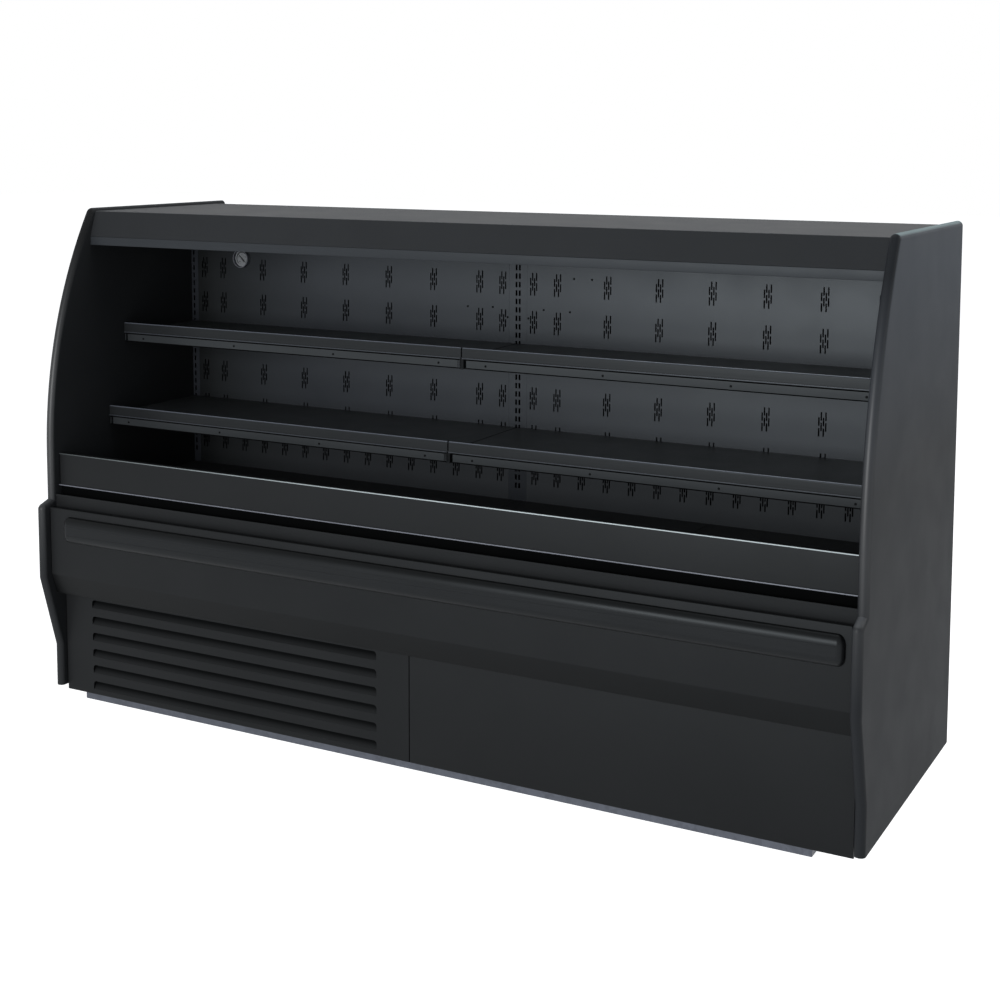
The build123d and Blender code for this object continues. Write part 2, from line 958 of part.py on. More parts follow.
def lower_cover_shell(x_low, x_high):
    """Add a tray-shaped cover, open to the back."""
    block(
        (x_low, x_high),
        (lower_cover_y, lower_cover_y + lower_cover_flange),
        (lower_cover_foot, lower_cover_top),
    )
    open_back = faces().sort_by(Axis.Y)[-1]
    offset(amount=-sheet, openings=open_back, kind=Kind.INTERSECTION)


with BuildPart() as louvre_panel:
    lower_cover_shell(-cover_x, split_x - split_gap / 2)
    louvre_middle = (louvre_left + louvre_right) / 2
    louvre_length = louvre_right - louvre_left
    for louvre in range(louvre_count):
        sill = louvre_low + louvre * louvre_pitch
        with BuildSketch(Plane.XZ.offset(-lower_cover_y)):
            with Locations((louvre_middle, sill + louvre_height / 2)):
                Rectangle(louvre_length, louvre_height)
            top_corners = vertices().group_by(Axis.Y)[-1]
            fillet(top_corners, louvre_corner)
        extrude(amount=-sheet, mode=Mode.SUBTRACT)
        fold_sheet(
            [
                (lower_cover_y + sheet / 2, sill - sheet / 2),
                (lower_cover_y + louvre_depth, sill + louvre_height),
            ],
            -sheet,
            louvre_left - sheet,
            louvre_right + sheet,
        )
        for cheek_x in (louvre_left - sheet, louvre_right):
            pull_section(
                [
                    (lower_cover_y + sheet, sill),
                    (lower_cover_y + louvre_depth, sill + louvre_height),
                    (lower_cover_y + sheet, sill + louvre_height),
                ],
                cheek_x,
                cheek_x + sheet,
            )
save(louvre_panel, "louvre_panel")

with BuildPart() as lower_right_panel:
    lower_cover_shell(split_x + split_gap / 2, cover_x)
save(lower_right_panel, "lower_right_panel")

rear_cover_low = machine_floor
with BuildPart() as rear_vent_cover:
    fold_sheet(
        [
            (wall_out_y, rear_cover_low),
            (wall_out_y, tub_base),
            (wall_out_y - lower_cover_flange, tub_base),
        ],
        sheet,
        -cover_x,
        cover_x,
    )
    with BuildSketch(Plane.XZ.offset(-wall_out_y)):
        with Locations((inlet_x, inlet_z)):
            RegularPolygon(inlet_radius, line_sides)
    extrude(amount=sheet, mode=Mode.SUBTRACT)
    with BuildSketch(Plane.XZ.offset(-wall_out_y)):
        with Locations((rear_vent_x, (rear_cover_low + tub_base) / 2)):
            with GridLocations(*rear_vent_pitch, rear_vent_count, rear_vent_rows):
                Rectangle(*rear_vent_size)
    extrude(amount=sheet, mode=Mode.SUBTRACT)
save(rear_vent_cover, "rear_vent_cover")


# ---------------------------------------------------------------- fans and motors
def fan_rotor(name, middle, radius, depth, blades, hub_radius):
    """Axial fan turning about Y: hub, pitched blades and a shaft towards the back."""
    x, y, z = middle
    hub_plane = Plane(origin=(x, y - depth / 2, z), x_dir=(1, 0, 0), z_dir=(0, 1, 0))
    with BuildPart() as fan:
        with BuildSketch(hub_plane) as hub:
            RegularPolygon(hub_radius, blades, major_radius=False, rotation=180 / blades)
        extrude(hub.sketch, amount=depth)
        with BuildSketch(hub_plane.offset(depth)) as shaft:
            Circle(shaft_radius)
        extrude(shaft.sketch, amount=motor_gap + shaft_engage)
        blade_depth = depth - 2 * blade_inset
        for index in range(blades):
            turn = radians(360 / blades * index)
            outward = (cos(turn), 0, sin(turn))
            around = (-sin(turn), 0, cos(turn))
            reach = hub_radius * blade_root_share
            place = (x + outward[0] * reach, y, z + outward[2] * reach)
            with BuildSketch(Plane(origin=place, x_dir=around, z_dir=outward)) as root:
                Rectangle(blade_depth / sin(radians(blade_pitch)), blade_thick, rotation=blade_pitch)
            extrude(root.sketch, amount=radius - reach)
    save(fan, name)


def add_fan_motor(face_point, radius, length, arm_reach, seat_y):
    """Add a motor with a shaft bore and two arms whose feet stand on the seat at seat_y."""
    x, y, z = face_point
    face_plane = Plane(origin=face_point, x_dir=(1, 0, 0), z_dir=(0, 1, 0))
    bore_depth = shaft_engage + shaft_end_gap
    with BuildSketch(face_plane) as body:
        Rectangle(2 * radius, 2 * radius)
        chamfer(vertices(), radius * motor_corner_share)
    extrude(body.sketch, amount=length)
    with BuildSketch(face_plane) as bore:
        RegularPolygon(shaft_radius + shaft_clearance, line_sides, major_radius=False)
    extrude(bore.sketch, amount=bore_depth, mode=Mode.SUBTRACT)
    for toward in (-1, 1):
        outer_x = x + toward * arm_reach
        reach = sorted((x + toward * (radius - arm_thick), outer_x))
        arm_z = (z - arm_width / 2, z + arm_width / 2)
        block(reach, (y, y + arm_thick), arm_z)
        foot = sorted((outer_x, outer_x + toward * arm_thick))
        block(foot, (seat_y, y + arm_thick), arm_z)


for fan_index, fan_x in enumerate(evaporator_fan_xs):
    fan_rotor(
        f"evaporator_fan_{fan_index + 1}",
        (fan_x, fan_plate_y, evaporator_fan_z),
        evaporator_fan_radius,
        evaporator_fan_depth,
        evaporator_fan_blades,
        evaporator_hub_radius,
    )

hole_radius = evaporator_fan_radius + fan_tip_gap
with BuildPart() as evaporator_fan_plate:
    fold_sheet(
        [
            (fan_plate_y - riser_seat, seat_top),
            (fan_plate_y, seat_top),
            (fan_plate_y, tub_inner_floor),
        ],
        -sheet,
        -inner_x,
        inner_x,
    )
    with BuildSketch(Plane.XZ.offset(-fan_plate_y)) as holes:
        with Locations(*[(x, evaporator_fan_z) for x in evaporator_fan_xs]):
            Circle(hole_radius)
    extrude(holes.sketch, amount=sheet, mode=Mode.SUBTRACT)
save(evaporator_fan_plate, "evaporator_fan_plate")

with BuildPart() as evaporator_fan_motors:
    for fan_x in evaporator_fan_xs:
        add_fan_motor(
            (fan_x, fan_plate_y + evaporator_fan_depth / 2 + motor_gap, evaporator_fan_z),
            evaporator_motor_radius,
            evaporator_motor_length,
            hole_radius + arm_width,
            fan_plate_y,
        )
save(evaporator_fan_motors, "evaporator_fan_motors")


# ---------------------------------------------------------------- coils and refrigerant
def finned_coil(name, middle, size, rows, columns, overhang):
    """Fin block with a tube plate and the hairpin bends at each end."""
    length, deep, high = size
    x, y, z = middle
    row_step = high / rows
    column_step = deep / columns
    with BuildPart() as coil:
        block(
            (x - length / 2, x + length / 2),
            (y - deep / 2, y + deep / 2),
            (z - high / 2, z + high / 2),
        )
        for toward in (-1, 1):
            end_x = x + toward * length / 2
            plate_x = end_x + toward * coil_plate
            block(
                sorted((end_x, plate_x)),
                (y - deep / 2, y + deep / 2),
                (z - high / 2 - overhang, z + high / 2),
            )
            first_row = 0 if toward > 0 else 1
            for column in range(columns):
                bend_y = y - deep / 2 + (column + 0.5) * column_step
                for row in range(first_row, rows - 1, 2):
                    bend_z = z - high / 2 + (row + 1) * row_step
                    plate_plane = Plane(
                        origin=(plate_x, bend_y, bend_z),
                        x_dir=(0, 0, 1),
                        z_dir=(toward, 0, 0),
                    )
                    with BuildSketch(plate_plane) as bend:
                        Rectangle(row_step + 2 * coil_tube, 2 * coil_tube)
                        chamfer(vertices(), coil_tube / 2)
                    extrude(bend.sketch, amount=coil_bend_reach)
    save(coil, name)


evaporator_z = tub_inner_floor + evaporator_size[2] / 2 + evaporator_lift
finned_coil(
    "evaporator_coil",
    (0, evaporator_y, evaporator_z),
    evaporator_size,
    coil_rows,
    evaporator_columns,
    evaporator_lift,
)
condenser_y = condenser_face_y + condenser_size[1] / 2
condenser_z = machine_floor + condenser_lift + condenser_size[2] / 2
finned_coil(
    "condenser_coil",
    (condenser_x, condenser_y, condenser_z),
    condenser_size,
    coil_rows,
    1,
    condenser_lift,
)

shroud_y = condenser_face_y + condenser_size[1]
shroud_rear_y = shroud_y + shroud_depth
outlet_radius = condenser_fan_radius + fan_tip_gap
with BuildPart() as fan_shroud:
    block(
        (condenser_x - condenser_size[0] / 2, condenser_x + condenser_size[0] / 2),
        (shroud_y, shroud_rear_y),
        (machine_floor, condenser_z + condenser_size[2] / 2),
    )
    coil_side = faces().sort_by(Axis.Y)[0]
    offset(amount=-sheet, openings=coil_side, kind=Kind.INTERSECTION)
    with BuildSketch(Plane.XZ.offset(-shroud_rear_y)) as outlet:
        with Locations((condenser_x, condenser_z)):
            RegularPolygon(outlet_radius, shell_sides, major_radius=False)
    extrude(outlet.sketch, amount=sheet, mode=Mode.SUBTRACT)
save(fan_shroud, "fan_shroud")

condenser_fan_y = shroud_rear_y
fan_rotor(
    "condenser_fan",
    (condenser_x, condenser_fan_y, condenser_z),
    condenser_fan_radius,
    condenser_fan_depth,
    condenser_fan_blades,
    condenser_hub_radius,
)
condenser_motor_y = condenser_fan_y + condenser_fan_depth / 2 + motor_gap
with BuildPart() as condenser_fan_motor:
    add_fan_motor(
        (condenser_x, condenser_motor_y, condenser_z),
        condenser_motor_radius,
        condenser_motor_length,
        outlet_radius + arm_width,
        shroud_rear_y,
    )
save(condenser_fan_motor, "condenser_fan_motor")

# Compressor: welded shell on a foot plate with four rubber feet, and two line stubs
compressor_y = suction_y
stub_end_x = compressor_x - compressor_radius - stub_length
shell_z = machine_floor + foot_height + foot_plate[2]
discharge_z = shell_z + discharge_height
suction_z = shell_z + suction_height
with BuildPart() as compressor:
    with BuildSketch(Plane.XY.offset(shell_z)) as shell:
        with Locations((compressor_x, compressor_y)):
            RegularPolygon(compressor_radius, shell_sides)
    extrude(shell.sketch, amount=compressor_height - compressor_dome)
    dome_base = faces().sort_by(Axis.Z)[-1]
    extrude(dome_base, amount=compressor_dome, taper=dome_taper)
    block(
        (compressor_x - foot_plate[0] / 2, compressor_x + foot_plate[0] / 2),
        (compressor_y - foot_plate[1] / 2, compressor_y + foot_plate[1] / 2),
        (machine_floor + foot_height, shell_z),
    )
    foot_spread = [side - 2 * foot_width for side in foot_plate[:2]]
    with BuildSketch(Plane.XY.offset(machine_floor)) as feet:
        with Locations((compressor_x, compressor_y)):
            with GridLocations(*foot_spread, 2, 2):
                Rectangle(foot_width, foot_width)
    extrude(feet.sketch, amount=foot_height)
    block(
        (
            compressor_x + compressor_radius - terminal_depth / 2,
            compressor_x + compressor_radius + terminal_depth / 2,
        ),
        (compressor_y - terminal_width / 2, compressor_y + terminal_width / 2),
        (shell_z + terminal_lift, shell_z + terminal_lift + terminal_height),
    )
    for stub_z, stub_radius in ((discharge_z, discharge_radius), (suction_z, suction_radius)):
        stub_plane = Plane(
            origin=(compressor_x - compressor_radius / 2, compressor_y, stub_z),
            x_dir=(0, 1, 0),
            z_dir=(-1, 0, 0),
        )
        with BuildSketch(stub_plane) as stub:
            RegularPolygon(stub_radius, line_sides)
        extrude(stub.sketch, amount=compressor_radius / 2 + stub_length)
save(compressor, "compressor")


def add_line(points, radius):
    """Add a copper tube of straight runs joined by square elbows."""
    with BuildLine() as route:
        Polyline(*points)
    with BuildSketch(Plane(origin=route.line @ 0, z_dir=route.line % 0)) as end:
        RegularPolygon(radius, line_sides)
    sweep(end.sketch, path=route.line, transition=Transition.RIGHT)


coil_face_x = condenser_x - condenser_size[0] / 2 - coil_plate
evaporator_face_x = -evaporator_size[0] / 2 - coil_plate
condenser_step = condenser_size[2] / coil_rows
condenser_out_z = condenser_z - condenser_size[2] / 2 + condenser_step / 2
condenser_in_z = condenser_z + condenser_size[2] / 2 - condenser_step / 2
evaporator_step = evaporator_size[2] / coil_rows
evaporator_in_z = evaporator_z - evaporator_size[2] / 2 + evaporator_step / 2
evaporator_out_z = evaporator_z + evaporator_size[2] / 2 - evaporator_step / 2
discharge_turn_x = coil_face_x - 2 * line_spacing
liquid_turn_x = coil_face_x - line_spacing
with BuildPart() as refrigerant_lines:
    add_line(
        [
            (stub_end_x, compressor_y, discharge_z),
            (discharge_turn_x, compressor_y, discharge_z),
            (discharge_turn_x, condenser_y, discharge_z),
            (discharge_turn_x, condenser_y, condenser_in_z),
            (coil_face_x, condenser_y, condenser_in_z),
        ],
        discharge_radius,
    )
    add_line(
        [
            (coil_face_x, condenser_y, condenser_out_z),
            (liquid_turn_x, condenser_y, condenser_out_z),
            (liquid_turn_x, liquid_y, condenser_out_z),
            (liquid_x, liquid_y, condenser_out_z),
            (liquid_x, liquid_y, evaporator_in_z),
            (evaporator_face_x, liquid_y, evaporator_in_z),
        ],
        liquid_radius,
    )
    add_line(
        [
            (evaporator_face_x, suction_y, evaporator_out_z),
            (suction_x, suction_y, evaporator_out_z),
            (suction_x, suction_y, suction_z),
            (stub_end_x, suction_y, suction_z),
        ],
        suction_radius,
    )
save(refrigerant_lines, "refrigerant_lines")


# ---------------------------------------------------------------- drain, controls, supply
pan_x_range = (drain_x - condensate_size[0] / 2, drain_x + condensate_size[0] / 2)
condensate_top = machine_floor + condensate_size[2]
with BuildPart() as condensate_pan:
    block(
        pan_x_range,
        (drain_y - condensate_size[1] + condensate_rear, drain_y + condensate_rear),
        (machine_floor, condensate_top),
    )
    pan_mouth = faces().sort_by(Axis.Z)[-1]
    offset(amount=-sheet, openings=pan_mouth, kind=Kind.INTERSECTION)
save(condensate_pan, "condensate_pan")

with BuildPart() as drain_hose:
    with BuildSketch(Plane.XY.offset(tub_inner_floor)):
        with Locations((drain_x, drain_y)):
            RegularPolygon(drain_radius - drain_clearance, line_sides, major_radius=False)
            RegularPolygon(
                drain_radius - drain_wall,
                line_sides,
                major_radius=False,
                mode=Mode.SUBTRACT,
            )
    extrude(amount=-(tub_inner_floor - condensate_top + drain_dip))
save(drain_hose, "drain_hose")

with BuildPart() as control_box:
    block(
        (control_x - control_size[0] / 2, control_x + control_size[0] / 2),
        (control_y - control_size[1] / 2, control_y + control_size[1] / 2),
        (machine_floor, machine_floor + control_size[2]),
    )
    chamfer(edges().filter_by(Axis.Z), control_corner)
    front_face = faces().filter_by(Axis.Y).sort_by(Axis.Y)[0]
    with BuildSketch(Plane(front_face.center(), x_dir=(1, 0, 0), z_dir=(0, -1, 0))) as lid:
        Rectangle(control_size[0] - 2 * control_corner, control_size[2] - 2 * control_corner)
    extrude(lid.sketch, amount=2 * sheet)
save(control_box, "control_box")

with BuildPart() as power_inlet:
    inlet_plane = Plane(
        origin=(inlet_x, wall_out_y - sheet, inlet_z), x_dir=(1, 0, 0), z_dir=(0, 1, 0)
    )
    with BuildSketch(inlet_plane) as neck:
        RegularPolygon(inlet_radius - shaft_clearance, line_sides)
    extrude(neck.sketch, amount=sheet)
    for height, across in ((-inlet_nut / 2, inlet_nut_radius), (inlet_nut, inlet_nut_radius)):
        with BuildSketch(inlet_plane.offset(sheet if height > 0 else 0)) as nut:
            RegularPolygon(across, 6)
        extrude(nut.sketch, amount=height)
    with BuildSketch(inlet_plane.offset(sheet + inlet_nut)) as cap:
        RegularPolygon(inlet_radius, line_sides)
    extrude(cap.sketch, amount=inlet_nut)
    with BuildSketch(inlet_plane.offset(sheet)) as cable_way:
        RegularPolygon(inlet_radius / 2, line_sides)
    extrude(cable_way.sketch, amount=2 * inlet_nut, mode=Mode.SUBTRACT)
save(power_inlet, "power_inlet")


# ---------------------------------------------------------------- thermometer
dial_plane = Plane(origin=(dial_x, duct_y, dial_z), x_dir=(1, 0, 0), z_dir=(0, -1, 0))
with BuildPart() as thermometer_case:
    with BuildSketch(dial_plane) as cup:
        RegularPolygon(dial_radius, dial_sides)
    extrude(cup.sketch, amount=dial_depth)
    with BuildSketch(dial_plane.offset(dial_floor)) as well:
        RegularPolygon(dial_radius - dial_wall, dial_sides)
    extrude(well.sketch, amount=dial_depth, mode=Mode.SUBTRACT)
    with BuildSketch(dial_plane.offset(dial_floor)) as pin:
        Circle(pivot_radius)
    extrude(pin.sketch, amount=pivot_height)
save(thermometer_case, "thermometer_case")

with BuildPart() as thermometer_needle:
    needle_plane = dial_plane.offset(dial_floor + (pivot_height - needle_thick) / 2)
    along = (cos(radians(needle_angle)), sin(radians(needle_angle)))
    across = (-along[1] * needle_width / 2, along[0] * needle_width / 2)
    with BuildSketch(needle_plane):
        with BuildLine():
            Polyline(
                (along[0] * needle_long, along[1] * needle_long),
                (across[0], across[1]),
                (-along[0] * needle_short + across[0], -along[1] * needle_short + across[1]),
                (-along[0] * needle_short - across[0], -along[1] * needle_short - across[1]),
                (-across[0], -across[1]),
                close=True,
            )
        make_face()
        RegularPolygon(2 * pivot_radius, line_sides)
        Circle(pivot_radius + shaft_clearance, mode=Mode.SUBTRACT)
    extrude(amount=needle_thick)
save(thermometer_needle, "thermometer_needle")

with BuildPart() as thermometer_lens:
    with BuildSketch(dial_plane.offset(dial_depth)):
        RegularPolygon(dial_radius - dial_wall / 2, dial_sides)
    extrude(amount=dial_lens)
save(thermometer_lens, "thermometer_lens")
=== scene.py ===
# %% [markdown]
# # An open multideck display fridge
# The construction is already there: sheet panels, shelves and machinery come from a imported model,
# in metres, at their real size and place. This lesson gives that model its looks. Each step says
# what the piece is on the real case, how it could be made, and why it is made this way here.

# %% Load the frame
import json
import math

import bpy
from mathutils import Matrix, Vector


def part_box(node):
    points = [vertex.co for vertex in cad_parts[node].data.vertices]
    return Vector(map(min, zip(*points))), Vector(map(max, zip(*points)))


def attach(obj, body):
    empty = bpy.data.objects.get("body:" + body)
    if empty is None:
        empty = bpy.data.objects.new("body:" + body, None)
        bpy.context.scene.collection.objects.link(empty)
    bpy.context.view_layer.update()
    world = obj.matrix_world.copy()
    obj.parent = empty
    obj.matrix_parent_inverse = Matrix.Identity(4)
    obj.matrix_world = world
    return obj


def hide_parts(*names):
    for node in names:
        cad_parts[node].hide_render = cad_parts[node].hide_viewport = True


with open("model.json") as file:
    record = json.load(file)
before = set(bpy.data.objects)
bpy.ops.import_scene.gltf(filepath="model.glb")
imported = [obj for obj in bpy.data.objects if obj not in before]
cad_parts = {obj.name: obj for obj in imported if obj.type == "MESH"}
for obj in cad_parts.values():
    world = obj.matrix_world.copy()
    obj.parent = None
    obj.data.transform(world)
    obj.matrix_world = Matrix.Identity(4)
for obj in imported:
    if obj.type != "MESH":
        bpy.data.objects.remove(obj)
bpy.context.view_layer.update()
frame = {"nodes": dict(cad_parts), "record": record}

# %% [markdown]
# ## The camera
# The picture is taken from the case's front right, a little above its top. A long lens at some
# distance keeps the verticals upright, and a downward shift does what a view camera's rising
# front does: it frames the case without tilting the camera, so the sides stay parallel.

# %% Camera
camera_place = (2.2293, -3.9908, 1.7318)
camera_yaw = math.radians(28.294)
camera_pitch = math.radians(5.728)
camera_roll = math.radians(0.134)
camera_data = bpy.data.cameras.new("case_camera")
camera_data.lens = 58.22
camera_data.sensor_width = 36.0
camera_data.shift_y = -0.2065
camera = bpy.data.objects.new("case_camera", camera_data)
bpy.context.scene.collection.objects.link(camera)
turn = Matrix.Rotation(camera_yaw, 4, "Z") @ Matrix.Rotation(math.pi / 2 - camera_pitch, 4, "X")
camera.matrix_world = Matrix.Translation(camera_place) @ turn @ Matrix.Rotation(camera_roll, 4, "Z")
bpy.context.scene.camera = camera
bpy.context.scene.view_settings.view_transform = "Standard"
print("camera at", camera_place)

# %% [markdown]
# ## Shader sums
# A material is a graph of nodes. Written as Python expressions it stays readable: the class below
# wraps one output socket, and each operator adds the Math node that does the sum. Colours never
# pass through a Math node, which would turn them grey, so they have a Mix node of their own.

# %% Socket and Finish
class Socket:
    """An output socket that takes part in Python sums."""

    def __init__(self, finish, output):
        self.finish = finish
        self.output = output

    def math(self, operation, *values):
        return self.finish.node("ShaderNodeMath", {"operation": operation}, dict(enumerate(values)))

    def __add__(self, other):
        return self.math("ADD", self, other)

    __radd__ = __add__

    def __rsub__(self, other):
        return self.math("SUBTRACT", other, self)

    def __mul__(self, other):
        return self.math("MULTIPLY", self, other)

    def above(self, limit):
        return self.math("GREATER_THAN", self, limit)

    def size(self):
        return self.math("ABSOLUTE", self)


class Finish:
    """A material whose nodes are added one call at a time."""

    def __init__(self, name, **constants):
        self.material = bpy.data.materials.new(name)
        self.material.use_nodes = True
        self.tree = self.material.node_tree
        self.shader = self.tree.nodes["Principled BSDF"]
        self.set(**constants)

    def feed(self, target, value):
        """Link a socket to an input, or set the input's constant."""
        if isinstance(value, Socket):
            self.tree.links.new(value.output, target)
        else:
            target.default_value = value

    def node(self, kind, settings=None, inputs=None, output=0):
        made = self.tree.nodes.new(kind)
        for key, value in (settings or {}).items():
            setattr(made, key, value)
        for key, value in (inputs or {}).items():
            self.feed(made.inputs[key], value)
        return Socket(self, made.outputs[output])

    def set(self, **values):
        for key, value in values.items():
            self.feed(self.shader.inputs[key.replace("_", " ")], value)

    def place(self):
        return self.node("ShaderNodeTexCoord", output="Object")

    def axis(self, name):
        return self.node("ShaderNodeSeparateXYZ", inputs={"Vector": self.place()}, output=name)

    def facing(self, name):
        normal = self.node("ShaderNodeNewGeometry", output="Normal")
        return self.node("ShaderNodeSeparateXYZ", inputs={"Vector": normal}, output=name)

    def noise(self, scale, detail=2.0, stretch=(1.0, 1.0, 1.0)):
        spread = self.node("ShaderNodeMapping", inputs={"Vector": self.place(), "Scale": stretch})
        return self.node("ShaderNodeTexNoise", inputs={"Vector": spread, "Scale": scale, "Detail": detail})

    def crystals(self, scale):
        """A random value for each cell of a Voronoi pattern."""
        sockets = {"Vector": self.place(), "Scale": scale}
        hue = self.node("ShaderNodeTexVoronoi", inputs=sockets, output="Color")
        return self.node("ShaderNodeSeparateColor", inputs={0: hue})

    def fit(self, value, low, high, to_low=0.0, to_high=1.0):
        sockets = {0: value, 1: low, 2: high, 3: to_low, 4: to_high}
        return self.node("ShaderNodeMapRange", {"clamp": True}, sockets)

    def mix(self, share, first, second):
        sockets = {0: share, 6: first, 7: second}
        return self.node("ShaderNodeMix", {"data_type": "RGBA"}, sockets, output=2)

    def bump(self, height, strength, distance):
        sockets = {"Height": height, "Strength": strength, "Distance": distance}
        self.set(Normal=self.node("ShaderNodeBump", inputs=sockets))


def tone(base, share=1.0):
    """A base colour made darker or lighter by a share, with its alpha."""
    return (*(share * part for part in base), 1.0)


print("shader helpers ready")

# %% [markdown]
# ## Floor and soft light
# A product picture has a white sweep and large soft lamps. The white comes from what the camera and
# the reflections see, not from more light on the case: floor and world are white to camera, glossy
# and transmission rays and calm to the rest. Four area lamps do the modelling: one high up, one low
# at the front left, one at the right side and one behind.

# %% World and floor
room_colour = (0.84, 0.92, 1.0, 1.0)
room_strength = 0.22
floor_size = 60.0
floor_colour = (0.8, 0.8, 0.8, 1.0)
floor_glow = 0.92


def white_where_seen(tree, plain, white, output):
    """Show the white shader to camera, glossy and transmission rays and the plain one to the rest."""
    path = tree.nodes.new("ShaderNodeLightPath")
    share = path.outputs["Is Camera Ray"]
    for name in ("Is Glossy Ray", "Is Transmission Ray"):
        either = tree.nodes.new("ShaderNodeMath")
        either.operation = "MAXIMUM"
        tree.links.new(share, either.inputs[0])
        tree.links.new(path.outputs[name], either.inputs[1])
        share = either.outputs[0]
    choose = tree.nodes.new("ShaderNodeMixShader")
    for index, source in enumerate((share, plain, white)):
        tree.links.new(source, choose.inputs[index])
    tree.links.new(choose.outputs[0], tree.nodes[output].inputs["Surface"])


world = bpy.data.worlds.new("studio_world")
world.use_nodes = True
sky = world.node_tree
room = sky.nodes["Background"]
room.inputs["Color"].default_value = room_colour
room.inputs["Strength"].default_value = room_strength
paper = sky.nodes.new("ShaderNodeBackground")
paper.inputs["Color"].default_value = (1.0, 1.0, 1.0, 1.0)
white_where_seen(sky, room.outputs[0], paper.outputs[0], "World Output")
bpy.context.scene.world = world

bpy.ops.object.select_all(action="DESELECT")
bpy.ops.mesh.primitive_plane_add(size=floor_size, location=(0.0, 0.0, -0.0005))
floor = bpy.context.object
floor.name = "studio_floor"
sweep = Finish("floor_white", Base_Color=floor_colour, Roughness=0.9, Specular_IOR_Level=0.0)
matt = Socket(sweep, sweep.shader.outputs[0])
glow = sweep.node("ShaderNodeEmission", inputs={"Strength": floor_glow})
bright = sweep.node("ShaderNodeAddShader", inputs={0: matt, 1: glow})
white_where_seen(sweep.tree, matt.output, bright.output, "Material Output")
floor.data.materials.append(sweep.material)
print("world and floor ready")

# %% Lamps
lamps = {
    "top_lamp": {"place": (0.6, 0.3, 4.6), "aim": (0.0, 0.0, 1.2), "size": (3.4, 2.2), "power": 34.0},
    "key_lamp": {"place": (-0.9, -7.0, 1.9), "aim": (0.2, 0.2, 1.0), "size": (3.0, 2.4), "power": 340.0},
    "side_lamp": {"place": (5.2, 0.4, 3.4), "aim": (1.2, 0.0, 1.0), "size": (2.0, 2.0), "power": 30.0},
    "back_lamp": {"place": (4.2, 4.6, 3.0), "aim": (0.0, 0.4, 0.9), "size": (2.4, 2.0), "power": 90.0},
}
for name, lamp in lamps.items():
    data = bpy.data.lights.new(name, "AREA")
    data.shape = "RECTANGLE"
    data.size, data.size_y = lamp["size"]
    data.energy = lamp["power"]
    thing = bpy.data.objects.new(name, data)
    bpy.context.scene.collection.objects.link(thing)
    thing.location = lamp["place"]
    aim = Vector(lamp["aim"]) - Vector(lamp["place"])
    thing.rotation_euler = aim.to_track_quat("-Z", "Y").to_euler()
print("lamps", len(lamps))

# %% [markdown]
# ## Powder coat
# Nearly all of the case is steel sheet under a textured black powder coat. Powder melts into a
# skin with a fine grain over a slow ripple. Handling leaves it a little shinier here and there, and
# dust settles on whatever faces up. So the finish has two sizes of bump, a slow drift in roughness
# and colour, and a pale veil on what faces up: faint, it is dust; strong, as on the canopy's roof and
# the end panels, it is mostly painted sheen.
#
# Black shows little but its gloss, so small changes of tone carry the shapes. A finish can get
# painted shade or painted light along one axis, as under an overhang or near a lamp, and painted shade
# on what slopes. The end panels' rounded nose has a thin clear coat, strongest from about 0.75 m to
# 1 m up, and painted shade towards its top; the right panel has a pale painted highlight on its top.

# %% Powder coat
case_black = (0.0124, 0.0129, 0.0136)
# A near-black tone that painted shade mixes in, wherever a finish below darkens for shade.
painted_shade = (0.0012, 0.0013, 0.0014)
# A pale tone for dust and painted sheen on what faces up.
dust_and_sheen_grey = (0.16, 0.167, 0.176)
# A pale tone for the painted highlight on the right end panel's top.
crown_highlight_grey = (0.30, 0.37, 0.38)
cool = (0.86, 0.95, 1.0, 1.0)
nose_coat = 0.7


